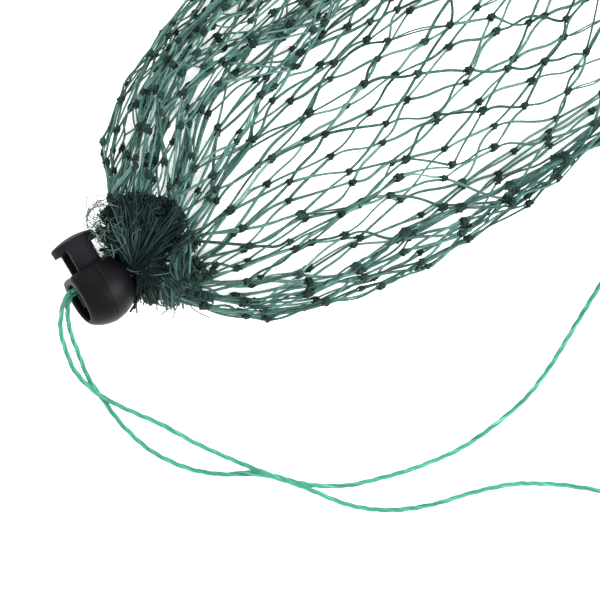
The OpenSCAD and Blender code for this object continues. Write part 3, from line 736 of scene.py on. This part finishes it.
along = np.zeros_like(knot_at)
aside = np.zeros_like(knot_at)
for r in range(ROWS + 1):
    for n in range(MESHES):
        ahead = knot_at[min(r + 1, ROWS)][list(forward(r, n))] if r < ROWS else knot_at[r, n][None]
        back = knot_at[r - 1][[(n - 1) % MESHES, n] if r % 2 == 0 else [n, (n + 1) % MESHES]] if r > 0 else knot_at[r, n][None]
        along[r, n] = ahead.mean(0) - back.mean(0)
        low, high = knot_at[r, (n - 1) % MESHES], knot_at[r, (n + 1) % MESHES]
        aside[r, n] = high - low
along = unit(along)
aside = unit(aside - (aside * along).sum(-1, keepdims=True) * along)
out = np.cross(along, aside)

bars = []
for r in range(ROWS):
    for n in range(MESHES):
        for side, m in zip((-1, 1), forward(r, n)):
            bars.append((r, n, m, side))
bars = np.array(bars)
r0, n0, n1, side = bars.T
first, last = knot_at[r0, n0], knot_at[r0 + 1, n1]
ex0, ey0, ex1, ey1 = along[r0, n0], aside[r0, n0], along[r0 + 1, n1], aside[r0 + 1, n1]
inner0 = ((r0 > 0) * 1.0)[:, None]
inner1 = ((r0 + 1 < ROWS) * 1.0)[:, None]
SIZE = 0.94
p0 = first + inner0 * SIZE * (0.8 * ex0 + side[:, None] * 0.36 * ey0)
p1 = last - inner1 * SIZE * (0.8 * ex1 + side[:, None] * 0.36 * ey1)
gap = np.linalg.norm(p1 - p0, axis=1)[:, None]
d = unit(p1 - p0)
t0 = gap * unit(0.2 * ex0 + 0.95 * d)
t1 = gap * unit(0.2 * ex1 + 0.95 * d)
tt = np.linspace(0, 1, 10)[None, :, None]
curve = ((2 * tt ** 3 - 3 * tt ** 2 + 1) * p0[:, None] + (tt ** 3 - 2 * tt ** 2 + tt) * t0[:, None]
         + (-2 * tt ** 3 + 3 * tt ** 2) * p1[:, None] + (tt ** 3 - tt ** 2) * t1[:, None])
count = len(bars)
col = column[r0, n0]
front = (col > 0.5) & (col < SIDE - 0.5)
place = np.abs(np.cos(np.interp(col, np.arange(MESHES + 1), THETA)))
crowded = step(place, 0.42, 0.6) * np.where(np.cos(np.interp(col, np.arange(MESHES + 1), THETA)) > 0, 1.0, 0.35)
level = np.stack([-d[:, 1], d[:, 0], np.zeros(count)], 1)
slack = np.clip((14.2 - gap[:, 0]) / 2.0, 0.4, 1.0)
bow = net_rng.normal(0, 0.4, count) * slack * (1 + 0.1 * crowded)
twice = net_rng.normal(0, 0.21, count) * slack * (1 + 0.1 * crowded)
sag = np.where(front, -np.abs(net_rng.normal(0, 0.5, count)), net_rng.normal(0, 0.3, count)) * slack
w1, w2 = np.sin(math.pi * tt), np.sin(2 * math.pi * tt)
curve = curve + level[:, None] * (bow[:, None, None] * w1 + twice[:, None, None] * w2)
curve[..., 2] += (sag[:, None, None] * w1)[..., 0]
curve[..., 2] = np.maximum(curve[..., 2], 0.34)

# painted light: the lower layer's bars are tinted paler than the upper layer's, for light from the white floor through
# the twine, and the gathered bars of the upper layer paler too; the random spread is the twine's own uneven tone
shade = np.where(front, 0.57, 0.79) + np.where(front, 0.16, 0.01) * crowded + net_rng.normal(0, 0.115, count)
shade = np.clip(shade, 0.26, 0.92)
kind = net_rng.uniform(0, 1, count)
ribbon = (kind < 0.045 * crowded * (knot_at[r0, n0, 1] > 8)) & (r0 > 0) & (r0 < ROWS - 1)
ribbon |= (r0 == 2) & (n0 == OPEN + 1) & (side < 0)
pair = ~ribbon & ((kind > 0.95) | ((r0 == 3) & (n0 == OPEN + 3) & (side > 0)))
plain = ~ribbon & ~pair
spin = net_rng.uniform(0, math.pi, count)[:, None] + net_rng.normal(0, 0.9, count)[:, None] * np.linspace(0, 1, 10)[None]
fat = net_rng.uniform(0.3, 0.355, count) * (1 - 0.26 * crowded)

nets = {}
for up, end in ((True, 0), (True, 1), (False, 0), (False, 1)):
    here = (front == up) & ((r0 >= ROWS // 2) == end)
    net = nets[up, end] = Strands()
    chosen = plain & here
    net.sweep(curve[chosen], fat[chosen], sides=6, wide=1.15, flat=0.82, roll=spin[chosen], tint=shade[chosen])
    # bars whose twine has opened into two strands
    chosen = pair & here
    k = chosen.sum()
    gape = net_rng.uniform(0.16, 0.3, k)[:, None, None] * np.sin(math.pi * tt) ** 0.6
    for s in (-1, 1):
        # painted light: the opened strands are tinted paler, for light through the thinner twine
        net.sweep(curve[chosen] + s * gape * level[chosen][:, None], 0.2, sides=5, tint=np.clip(shade[chosen] + 0.1 + 0.06 * s, 0, 0.9))
    # bars whose twine has opened into a flat ribbon of strands
    chosen = ribbon & here
    k = chosen.sum()
    for j in range(5 if k else 0):
        off = (j - 2) * 0.17 * (0.55 + 0.45 * net_rng.uniform(0.4, 1.3, k))[:, None, None] * (0.35 + 0.65 * np.sin(math.pi * tt) ** 0.3)
        lift = net_rng.normal(0, 0.08, k)[:, None, None] * np.sin(math.pi * tt)
        # painted light: the ribbon's strands are tinted paler, for light through the thinner twine
        net.sweep(curve[chosen] + off * level[chosen][:, None] + lift * np.array([0, 0, 1.0]), 0.155, sides=5,
                  tint=np.clip(shade[chosen] + 0.14 + net_rng.normal(0, 0.06, k), 0, 0.95))

# the knots: sheet bends, one bight of the row before caught by the wound strand of the row after
BIGHT = catmull([[-1.15, -0.4, 0], [-0.3, -0.5, 0.22], [0.5, -0.36, 0.3], [0.75, 0, 0.16], [0.5, 0.36, 0.3], [-0.3, 0.5, 0.22], [-1.15, 0.4, 0]], 2)
WOUND = catmull([[1.1, -0.4, 0], [0.2, -0.2, -0.32], [-0.25, 0.52, -0.2], [-0.35, 0.42, 0.45], [-0.2, -0.28, 0.55], [-0.05, -0.66, 0.1], [0.05, -0.28, -0.45], [0.3, 0.2, -0.32], [1.1, 0.4, 0]], 2)
THICK_B = 0.84 + 0.28 * np.sin(np.linspace(0, math.pi, len(BIGHT)))
THICK_W = 0.78 + 0.42 * np.sin(np.linspace(0, math.pi, len(WOUND)))


# the knots are given darker tints by their callers than the strands they tie: painted shade inside the dense knot
def knots_into(strands, at, ex, ey, ez, size, tint, random, radius=0.385):
    k = len(at)
    turn = random.normal(0, 0.35, k)
    ey, ez = ey * np.cos(turn)[:, None] + ez * np.sin(turn)[:, None], ez * np.cos(turn)[:, None] - ey * np.sin(turn)[:, None]
    flip = np.where(random.uniform(0, 1, k) < 0.5, -1.0, 1.0)[:, None]
    for path, thick, more in ((BIGHT, THICK_B, 0.0), (WOUND, THICK_W, -0.05)):
        x = size[:, None, None] * (path[None, :, 0, None] * ex[:, None] + path[None, :, 1, None] * ey[:, None] + path[None, :, 2, None] * (ez * flip)[:, None])
        p = at[:, None] + x
        p[..., 2] = np.maximum(p[..., 2], 0.34)
        strands.sweep(p, radius * size[:, None] * thick[None], sides=5, tint=np.clip(tint + more, 0.02, 1), chunk=18)


rows, cols = np.meshgrid(np.arange(1, ROWS), np.arange(MESHES), indexing="ij")
rows, cols = rows.ravel(), cols.ravel()
col = column[rows, cols]
up_layer = (col > 0.5) & (col < SIDE - 0.5)
knot_sets = {}
for up, end in nets:
    chosen = (up_layer == up) & ((rows >= ROWS // 2) == end)
    r, n = rows[chosen], cols[chosen]
    k = len(r)
    gathered = step(np.cos(np.interp(column[r, n], np.arange(MESHES + 1), THETA)), 0.45, 0.62)
    # painted shade and light: the knots are tinted darker than the bars, and those of the lower layer a little paler,
    # for light from the floor
    knot_sets[up, end] = Strands()
    knots_into(knot_sets[up, end], knot_at[r, n], along[r, n], aside[r, n], out[r, n],
               SIZE * net_rng.uniform(0.9, 1.18, k) * (1.0 if up else 0.92) * (1 - 0.12 * gathered), 0.26 + net_rng.normal(0, 0.06, k) + (0 if up else 0.05), net_rng)

for up, end in nets:
    name = ("netting_upper_" if up else "netting_lower_") + "%s_" + ("bottom" if end else "mouth")
    nets[up, end].piece(name % "bars", twine, "net", "netting", ["net_body"])
    knot_sets[up, end].piece(name % "knots", twine, "net", "netting", ["net_body"])

# ---------------------------------------------------------------- the twine that laces the side of the bag

lace = np.random.default_rng(53)
SEAM = np.array([[7, 0.77], [16, 0.84], [25, 0.87], [38, 0.8], [52, 0.75], [69, 0.83], [85, 0.9], [96, 0.965], [104, 0.985], [114, 0.99], [300, 0.99]])


def seam(x, lift=0.0):
    a, m, c, b = lie(x)
    f = np.interp(x, SEAM[:, 0], SEAM[:, 1])
    return np.stack([x, m - f * (a + lift), c + np.sqrt(np.maximum(0, 1 - f * f)) * (b + lift)], -1)


def beside(p):
    t = np.empty_like(p)
    t[1:-1], t[0], t[-1] = p[2:] - p[:-2], p[1] - p[0], p[-1] - p[-2]
    t = unit(t)
    u = unit(np.cross(t, np.array([0, 0.25, 1.0])))
    return t, u, np.cross(u, t)


x = np.linspace(7.2, 271.5, 540)
line = seam(x, 0.1)
t, u, v = beside(line)
s = Strands()
for i in range(3):
    w = lace.uniform(0, 2 * math.pi, 4)
    r = 0.42 + 0.16 * np.sin(x / 19 + w[0])
    turn = 2 * math.pi * i / 3 + x / 5.2 + 0.8 * np.sin(x / 17 + w[1])
    p = line + (r * np.cos(turn))[:, None] * u + (0.7 * r * np.sin(turn))[:, None] * v
    p[:, 2] = np.maximum(p[:, 2], 0.35)
    s.sweep(p, 0.27 + 0.03 * np.sin(x / 7 + w[2])[None], sides=6, tint=0.6 + 0.12 * np.sin(x / 23 + w[3])[None], chunk=12)
# the lacing twine itself, which is wound about the two edges and hitched at every other knot
turn = 2 * math.pi * x / 9.0 + 0.7 * np.sin(x / 13)
p = line + (0.58 * np.cos(turn))[:, None] * u + (0.5 * np.sin(turn))[:, None] * v
p[:, 2] = np.maximum(p[:, 2], 0.35)
s.sweep(p, 0.22, sides=6, tint=0.5, chunk=12)
at = np.arange(13.5, 268, 12.6) + lace.normal(0, 0.8, len(np.arange(13.5, 268, 12.6)))
middle = seam(at, 0.3)
t, u, v = beside(middle)
knots_into(s, middle, t, u, v, lace.uniform(1.02, 1.3, len(at)), 0.22 + lace.normal(0, 0.04, len(at)), lace)
s.piece("side_lacing_twine", twine, "net", "lacing", ["side_lacing"])

# its two tie-off knots, each with two cut ends
s = Strands()
for x in (7.6, 271.3):
    middle = seam(np.array([x - 0.6, x, x + 0.6]), 0.9)
    t, u, v = beside(middle)
    knots_into(s, middle, t, u, v, np.array([1.1, 1.3, 1.15]), np.array([0.2, 0.24, 0.22]), lace)
    for k in range(2):
        tip = unit(lace.normal(0, 1, 3) * np.array([1, 1, 0.3]) + np.array([0, -1.0, 0.2]))
        run = np.linspace(0.3, lace.uniform(2.4, 3.6), 8)
        p = middle[1] + run[:, None] * tip + 0.3 * np.sin(run * 1.4)[:, None] * t[1]
        p[:, 2] = np.maximum(p[:, 2], 0.35)
        s.sweep(catmull(p, 2), 0.24, sides=6, tint=0.35)
s.piece("lacing_knots_tied", twine, "net", "lacing", ["lacing_knots"])

# ---------------------------------------------------------------- frayed selvage at the mouth

ruf = np.random.default_rng(31)


def polar(angle, reach, z):
    a = np.radians(angle)
    return np.stack([reach * np.cos(a), reach * np.sin(a), np.broadcast_to(z, np.shape(a))], -1)


def clear_of_ball(p, gap=0.12):
    """Moves points that would lie in the lock's ball or plunger out to its surface."""
    d = p - BALL
    far = np.linalg.norm(d, axis=-1, keepdims=True)
    p = np.where(far < 8.3 + gap, BALL + d / np.maximum(far, 1e-6) * (8.3 + gap), p)
    d = p - BALL
    up = (d @ W)[..., None]
    side = d - up * W
    far = np.linalg.norm(side, axis=-1, keepdims=True)
    inside = (far < 5.42 + gap) & (up > 3.5) & (up < 13.2)
    return np.where(inside, BALL + up * W + side / np.maximum(far, 1e-6) * (5.42 + gap), p)


def tuft(strands, angle, reach, height, count, tint, random, radius=(0.13, 0.2), splay=2.6, curl=0.45, base=(-0.8, 1.0, 10.6), wild=1.0, vary=0.08):
    """A lock of cut strands that leaves the neck and fans out, in slight waves, over the mouth of the bag."""
    k = 10
    t = np.linspace(0, 1, k)
    own = random.normal(0, splay, count)
    far = reach * random.uniform(0.86, 1.05, count)
    start = np.array(base) + random.normal(0, 1, (count, 3)) * np.array([0.35, 0.8, 0.5])
    start[:, 0] = np.maximum(start[:, 0], -1.4)
    top = height + random.normal(0, 0.55, count)
    sway, phase = random.normal(0, 2.6) * wild, random.uniform(0, 2 * math.pi)
    own_sway, own_phase = random.normal(0, 1.3, count) * wild, random.uniform(0, 2 * math.pi, count)
    p = np.zeros((count, k, 3))
    for i, s in enumerate(t):
        a = angle + own * s ** 0.6 + sway * math.sin(2.4 * math.pi * s + phase) * s + own_sway * np.sin(3.2 * math.pi * s + own_phase) * s
        p[:, i] = polar(a, far * s, 0) + start * (1 - s) ** 2
        p[:, i, 2] = start[:, 2] * (1 - s) ** 2 + (1 - (1 - s) ** 2) * top + 0.8 * math.sin(math.pi * s) + 0.25 * s * np.sin(own_phase + 6 * s)
    tail = curl * random.normal(0, 1, (count, 3)) * np.array([1, 1, 0.7])
    p[:, -1] += tail
    p[:, -2] += tail * 0.35
    p[..., 2] = np.maximum(p[..., 2], 0.35)
    p = clear_of_ball(p, 0.25)
    shape = np.stack([catmull(q, 2) for q in p])
    # painted shade: each strand is tinted darker towards its root in the neck
    root_shade = 0.5 + 0.5 * step(np.linspace(0, 1, shape.shape[1]), 0.05, 0.6)
    strands.sweep(shape, random.uniform(*radius, count), sides=5, wide=1.2, flat=0.8,
                  roll=random.uniform(0, 3, count), tint=np.clip(tint + random.normal(0, vary, count), 0.03, 0.97)[:, None] * root_shade[None])


def edge(angle):
    return np.interp(angle, [-14, -5.4, 2.9, 12, 18.8, 26, 38, 57, 70, 83, 94, 104, 114], [7.5, 9.5, 13.2, 14.9, 16.3, 15.7, 15.3, 14.9, 14.5, 14.0, 11.0, 8.2, 6.2])


def rise(angle):
    return np.interp(angle, [-12, 20, 60, 100], [12.3, 14.2, 15.0, 13.2])


s = Strands()
# painted shade: the lower layers of tufts are tinted darker than the upper ones
for layer, (many, drop, tint) in enumerate(((26, -2.4, 0.12), (30, -1.1, 0.22), (24, 0.1, 0.32))):
    for i in range(many):
        a = -8 + 112 * (i + ruf.uniform(0.1, 0.9)) / many
        tuft(s, a, edge(a) * ruf.uniform(0.74, 1.07), rise(a) + drop + ruf.normal(0, 0.5), int(ruf.integers(7, 13)),
             tint + ruf.normal(0, 0.1), ruf, radius=(0.13, 0.21) if layer else (0.17, 0.25))
for i in range(34):
    a = ruf.uniform(-95, -2)
    tuft(s, a, ruf.uniform(4.5, 7.5), 11.7 + ruf.normal(0, 0.3), int(ruf.integers(5, 9)), 0.2 + ruf.normal(0, 0.07), ruf, splay=6.0, base=(-0.6, 0.6, 11.2))
s.piece("mouth_ruffle_strands", selvage, "net", "selvage", ["mouth_ruffle"])

# single paler strands on the top, as painted highlights, cut knots and frizz along the edge of the ruffle
s = Strands()
for i in range(36):
    a = ruf.uniform(-4, 98)
    tuft(s, a, edge(a) * ruf.uniform(0.55, 1.02), rise(a) + ruf.uniform(0.3, 0.9), 1, ruf.uniform(0.5, 0.74), ruf, radius=(0.1, 0.16), wild=1.5)
# uneven ends that stand out past the edge
uneven = np.random.default_rng(41)
for i in range(46):
    a = uneven.uniform(4, 88)
    tuft(s, a, edge(a) * uneven.uniform(0.9, 1.05), rise(a) - uneven.uniform(-0.4, 2.2), int(uneven.integers(1, 4)), uneven.uniform(0.25, 0.55), uneven,
         radius=(0.1, 0.17), splay=1.6, wild=1.5, vary=0.1)
k = 84
angle = ruf.uniform(-6, 86, k)
at = polar(angle, edge(angle) * ruf.uniform(0.84, 1.02, k), rise(angle) + ruf.uniform(-2.4, 0.5, k))
ex = unit(polar(angle + ruf.normal(0, 30, k), np.ones(k), ruf.normal(0, 0.3, k)))
ey = unit(np.cross(np.array([0, 0, 1.0]), ex))
knots_into(s, at, ex, ey, np.cross(ex, ey), ruf.uniform(0.5, 0.9, k), 0.2 + ruf.normal(0, 0.07, k), ruf)


def frizz(strands, centres, radius, thick, tint, random, turns=(0.4, 1.1), k=12, vary=0.12):
    """Short curled ends of loose filament."""
    n = len(centres)
    t = np.linspace(0, 1, k)[None]
    a0, sweep = random.uniform(0, 2 * math.pi, n)[:, None], random.uniform(*turns, n)[:, None] * 2 * math.pi * np.where(random.uniform(0, 1, n) < 0.5, -1, 1)[:, None]
    r = random.uniform(*radius, n)[:, None] * (1 + 0.5 * t)
    u = unit(random.normal(0, 1, (n, 3)) * np.array([1, 1, 0.5]))
    v = unit(np.cross(u, random.normal(0, 1, (n, 3)) * np.array([0.4, 0.4, 1.2])))
    p = centres[:, None] + (r * np.cos(a0 + sweep * t))[..., None] * u[:, None] + (r * np.sin(a0 + sweep * t))[..., None] * v[:, None]
    p[..., 2] = np.maximum(p[..., 2], 0.2)
    strands.sweep(clear_of_ball(p), random.uniform(*thick, n), sides=4, tint=np.clip(tint + random.normal(0, vary, n), 0.02, 0.97), chunk=12)


k = 130
angle = ruf.uniform(-7, 84, k)
frizz(s, polar(angle, edge(angle) * ruf.uniform(0.84, 1.02, k), rise(angle) + ruf.uniform(-2.5, 0.8, k)), (0.45, 1.3), (0.07, 0.14), 0.34, ruf)
# loose filaments between the ruffle and the plunger
k = 95
at = np.stack([ruf.uniform(-2.2, 2.2, k), ruf.uniform(7.0, 15.5, k), ruf.uniform(10.5, 15.2, k)], 1)
at[:, 0] += (at[:, 1] - 7.0) * 0.14
frizz(s, at, (1.0, 2.8), (0.055, 0.095), 0.88, ruf, turns=(0.15, 0.5), vary=0.16)
k = 34
at = np.stack([ruf.uniform(-2.9, -0.6, k), ruf.uniform(6.8, 12.5, k), ruf.uniform(4.5, 11.5, k)], 1)
frizz(s, at, (0.4, 1.1), (0.06, 0.12), 0.5, ruf, turns=(0.2, 0.7), vary=0.2)
FILAMENTS = [
    ([[-0.6, 16.3, 14.0], [0.1, 15.9, 15.0], [1.6, 15.4, 15.4], [3.6, 14.3, 15.6], [4.8, 12.9, 15.4], [5.5, 11.4, 15.0]], 0.1, 1.0),
    ([[-0.1, 19.0, 13.5], [2.1, 18.0, 14.2], [4.2, 16.6, 14.0]], 0.07, 0.85),
    ([[-4.6, 14.0, 12.4], [-3.1, 13.2, 13.0], [-0.8, 12.2, 13.0]], 0.06, 0.9),
    ([[-2.1, 0.9, 12.4], [-1.0, -0.7, 12.8], [1.3, -1.7, 13.2], [3.4, -1.9, 13.0]], 0.095, 0.8),
    ([[-1.0, -1.1, 12.6], [1.0, -3.2, 13.3], [3.2, -4.7, 13.2], [5.0, -5.6, 12.4]], 0.11, 0.82),
    ([[0.6, -2.3, 12.9], [1.3, -3.1, 13.2], [1.7, -4.8, 12.8]], 0.1, 0.78),
    ([[3.0, -10.0, 5.0], [3.8, -12.3, 3.0], [3.8, -14.8, 2.0], [4.4, -16.5, 1.4], [5.5, -18.7, 1.0]], 0.125, 0.66),
    ([[-0.6, -7.4, 3.5], [-1.1, -8.4, 2.4], [-1.9, -9.0, 1.8], [-2.8, -10.2, 1.2]], 0.14, 0.58),
    ([[2.6, -11.2, 3.2], [1.5, -11.6, 2.4], [-0.3, -11.4, 1.8], [-2.7, -11.5, 1.4]], 0.14, 0.62),
    ([[2.6, -11.0, 3.4], [1.8, -11.9, 2.4], [0.3, -12.7, 1.6], [-1.0, -13.7, 1.0]], 0.13, 0.6),
    ([[-2.2, -3.6, 6.0], [-4.4, -4.9, 4.2], [-5.0, -5.6, 3.6], [-6.6, -7.9, 2.2]], 0.24, 0.86),
    ([[-1.7, -9.2, 3.2], [-0.7, -10.5, 3.0], [2.1, -12.3, 2.6]], 0.15, 0.62)]
for line, r, tone in FILAMENTS:
    s.sweep(clear_of_ball(catmull(line, 5)), r, sides=5, tint=tone)
s.piece("mouth_ruffle_frizz", selvage, "net", "selvage", ["mouth_ruffle"])

# the brush of cut ends below the neck, and the fibres that the drawstring presses against the lock
s = Strands()
for i in range(25):
    a = ruf.uniform(-139, -80)
    for j in range(int(ruf.integers(4, 8))):
        b = a + ruf.normal(0, 3)
        far = np.interp(b, [-140, -134, -118, -104, -92, -84, -78], [6.2, 6.9, 8.1, 8.8, 10.0, 11.6, 12.0]) * ruf.uniform(0.68, 1.06)
        begin = np.array([max(ruf.normal(-0.2, 0.4), -1.0), ruf.normal(-1.2, 1.0), ruf.normal(10.6, 0.5)])
        reach = polar(np.array([b + ruf.normal(0, 4), b + ruf.normal(0, 2), b + ruf.normal(0, 3)]), np.array([0.42, 0.72, 1.0]) * far, 0)
        line = np.vstack([begin[None], reach])
        line[1:, 0] += np.array([0.35, 0.15, 0]) * far * 0.3
        line[1:, 2] = [11.2 + ruf.normal(0, 0.4), 8.4 + ruf.normal(0, 0.6), 4.2 + ruf.normal(0, 0.9)]
        # painted shade: each strand of the brush is tinted darker towards the neck
        s.sweep(clear_of_ball(catmull(line, 4), 0.25), ruf.uniform(0.13, 0.22), sides=5, wide=1.2, flat=0.8,
                tint=np.clip(0.4 + ruf.normal(0, 0.14), 0.04, 0.85) * np.linspace(0.35, 1.1, 13)[None])
for i in range(150):
    y = ruf.uniform(-6.5, 8.5)
    low = np.array([-9.66 + math.sqrt(max(68.9 - (y - 1.62) ** 2, 1)) * 0.97 + ruf.uniform(-0.4, 1.2), y + ruf.normal(0, 0.4), ruf.uniform(2.6, 5.2)])
    begin = np.array([ruf.uniform(-0.7, 0.4), y * 0.45 + ruf.normal(0, 0.5), ruf.uniform(8.8, 10.8)])
    middle = begin * 0.45 + low * 0.55 + np.array([0.5, 0, 0.6])
    s.sweep(clear_of_ball(catmull(np.array([begin, middle, low]), 5), 0.22), ruf.uniform(0.14, 0.22), sides=5, tint=np.clip(0.24 + ruf.normal(0, 0.1), 0.04, 0.6))
# a collar of fibres that runs round the neck, between it and the lock
for i in range(90):
    y = ruf.uniform(-5.0, 6.5)
    x = ruf.uniform(-1.15, -0.2)
    z = ruf.uniform(5.0, 9.8)
    reach = ruf.uniform(1.2, 2.6)
    line = np.array([[x + ruf.normal(0, 0.25), y - reach, z - ruf.uniform(0.2, 1.4)], [x, y - 0.3 * reach, z], [x + ruf.normal(0, 0.12), y + 0.4 * reach, z + 0.1],
                     [x + ruf.normal(0, 0.25), y + reach, z - ruf.uniform(0.2, 1.4)]])
    s.sweep(clear_of_ball(catmull(line, 5), 0.2), ruf.uniform(0.12, 0.2), sides=5, tint=np.clip(0.2 + ruf.normal(0, 0.09), 0.04, 0.5))
for i in range(120):
    f = ruf.uniform(0, 1)
    begin = np.array([ruf.uniform(-0.9, 0.2), ruf.uniform(-2.6, 2.2), ruf.uniform(8.6, 10.4)])
    low = np.array([-2.7 - 1.0 * f + ruf.normal(0, 0.3), 1.8 - 5.8 * f + ruf.normal(0, 0.4), ruf.uniform(3.0, 6.6)])
    line = np.array([begin, begin * 0.5 + low * 0.5 + np.array([0.25, 0, 0.7]), low])
    s.sweep(clear_of_ball(catmull(line, 6), 0.2), ruf.uniform(0.13, 0.2), sides=5, tint=np.clip(0.2 + ruf.normal(0, 0.09), 0.04, 0.5))
# and dark ends that stand between the plunger and the ruffle
for i in range(46):
    begin = np.array([ruf.uniform(-1.2, 0.6), ruf.uniform(4.6, 7.0), ruf.uniform(8.0, 10.6)])
    end = np.array([ruf.uniform(-3.1, -0.8), ruf.uniform(8.2, 12.2), ruf.uniform(4.5, 11.0)])
    end[0] = max(end[0], -3.3 + 0.14 * (end[1] - 6.5))
    line = np.array([begin, begin * 0.55 + end * 0.45 + np.array([0.35, 0, 0.5]) + ruf.normal(0, 0.2, 3), end])
    s.sweep(clear_of_ball(catmull(line, 6), 0.2), ruf.uniform(0.1, 0.17), sides=5, tint=np.clip(0.24 + ruf.normal(0, 0.12), 0.04, 0.7))
s.piece("mouth_ruffle_brush", selvage, "net", "selvage", ["mouth_ruffle"])

# the loops of the lower side, which turn over and run on into the netting
s = Strands()
LOOP_L = np.array([[12.1, -2.4, 12.6], [9.4, -2.7, 13.3], [7.3, -4.5, 13.2], [5.8, -6.9, 12.4], [5.1, -10.0, 9.6], [6.0, -13.2, 6.6]])
LOOP_R = np.array([[13.6, -2.2, 11.8], [12.4, -3.4, 12.4], [10.4, -5.4, 12.2], [8.2, -7.8, 11.2], [6.6, -10.4, 9.0], [7.6, -13.8, 6.4]])
for i in range(40):
    f = ruf.uniform(-0.25, 1.15)
    line = LOOP_L * (1 - f) + LOOP_R * f + ruf.normal(0, 1, (6, 3)) * np.array([0.4, 0.4, 0.6]) + ruf.normal(0, 0.5, 3)
    line[0] += ruf.normal(0, 1, 3) * np.array([1.5, 1.0, 0.5])
    s.sweep(catmull(line, 4), ruf.uniform(0.15, 0.25), sides=5, wide=1.2, flat=0.8, tint=np.clip(0.38 + ruf.normal(0, 0.16), 0.1, 0.8))
for i in range(58):
    begin = np.array([ruf.uniform(1.5, 6.5), ruf.uniform(-6.5, -3.0), ruf.uniform(10.5, 12.2)])
    f = ruf.uniform(0, 1)
    end = np.array([-0.5 + 6.0 * f + ruf.normal(0, 0.6), -10.4 - 2.6 * f + ruf.normal(0, 0.7), ruf.uniform(2.5, 5.5)])
    middle = (begin + end) / 2 + ruf.normal(0, 0.6, 3) + np.array([0.6, -0.3, 1.2])
    s.sweep(catmull(np.array([begin, middle, end]), 6), ruf.uniform(0.16, 0.26), sides=5, wide=1.2, flat=0.8, tint=np.clip(0.38 + ruf.normal(0, 0.15), 0.1, 0.8))
k = 30
at = np.stack([ruf.uniform(5, 14, k), ruf.uniform(-12, -1.0, k), ruf.uniform(9.5, 12.5, k)], 1)
ex = unit(ruf.normal(0, 1, (k, 3)) * np.array([1, 1, 0.3]))
ey = unit(np.cross(np.array([0, 0, 1.0]), ex))
knots_into(s, at, ex, ey, np.cross(ex, ey), ruf.uniform(0.7, 1.05, k), 0.2 + ruf.normal(0, 0.05, k), ruf)
s.piece("mouth_ruffle_loops", twine, "net", "selvage", ["mouth_ruffle"])

# ---------------------------------------------------------------- the whipped bottom

s = Strands()
t = np.linspace(0, 8 * math.pi, 240)
coil = np.stack([279.3 + 3.55 * t / t[-1], 4.05 * np.sin(t + 0.4), 5.5 + 4.05 * np.cos(t + 0.4)], 1)
coil[:, 2] = np.maximum(coil[:, 2], 0.95)
twisted(s, coil, seed=21, per=0.4)
s.piece("bottom_tie_cord", cord_green, "net", "drawstring", ["bottom_tie"])

s = Strands()
KNOT_B = np.array([281.1, 0.0, 11.3])
turned = np.stack([trefoil[:, 2] * 0.8, trefoil[:, 0] * 0.85, trefoil[:, 1] * 0.72], 1)
twisted(s, KNOT_B + turned, pitch=5.0, seed=23, per=0.3)
for tip, reach, seed in (((0.462, 0.869, -0.174), 9.0, 24), ((0.654, -0.727, -0.208), 7.0, 25)):
    run = np.linspace(0.6, reach, 12)
    p = KNOT_B + run[:, None] * np.array(tip) + np.stack([0.35 * np.sin(run * 0.9), 0 * run, 0.25 * np.sin(run * 0.7)], 1)
    twisted(s, p, seed=seed, per=0.35, taper=0.2)
s.piece("bottom_tie_knot_tied", cord_green, "net", "drawstring", ["bottom_tie_knot"])

s = Strands()
for i in range(420):
    a = math.radians(ruf.normal(0, 30))
    a = max(-1.15, min(1.15, a))
    far = np.interp(abs(math.degrees(a)), [0, 25, 45, 66], [15.2, 14.8, 13.0, 11.5]) * ruf.uniform(0.72, 1.03)
    begin = np.array([282.6 + ruf.uniform(0, 0.8), ruf.normal(0, 1.3), 5.5 + ruf.normal(0, 1.3)])
    end = np.array([283.2 + far * math.cos(a), far * math.sin(a) * 0.78, 5.4 + ruf.normal(0, 2.0)])
    mid = (begin + end) / 2 + ruf.normal(0, 0.35, 3)
    tip = end + ruf.normal(0, 0.4, 3)
    line = catmull(np.array([begin, begin * 0.65 + mid * 0.35 + np.array([0.2, 0, 0]), mid, end * 0.75 + mid * 0.25 + ruf.normal(0, 0.25, 3), tip]), 4)
    line[:, 2] = np.clip(line[:, 2], 0.5, 9.5)
    line[:, 0] = np.minimum(line[:, 0], 299.1)
    s.sweep(line, ruf.uniform(0.14, 0.22), sides=5, wide=1.2, flat=0.8, tint=np.clip(0.22 + 0.4 * (ruf.uniform() < 0.12) + ruf.normal(0, 0.1), 0.04, 0.9))
k = 60
a = ruf.uniform(-1.1, 1.1, k)
reach = ruf.uniform(11, 14.2, k)
at = np.stack([283 + reach * np.cos(a), reach * np.sin(a) * 0.78, ruf.uniform(2.5, 8, k)], 1)
ex = unit(ruf.normal(0, 1, (k, 3)))
ey = unit(np.cross(np.array([0, 0, 1.0]), ex))
knots_into(s, at, ex, ey, np.cross(ex, ey), ruf.uniform(0.5, 0.75, k), 0.16 + ruf.normal(0, 0.05, k), ruf)
k = 200
a = ruf.uniform(-1.15, 1.15, k)
reach = ruf.uniform(10.5, 14.4, k)
frizz(s, np.stack([283 + reach * np.cos(a), reach * np.sin(a) * 0.78, ruf.uniform(1.8, 8.4, k)], 1), (0.45, 1.0), (0.06, 0.12), 0.26, ruf)
s.piece("bottom_ruffle_strands", selvage, "net", "selvage", ["bottom_ruffle"])
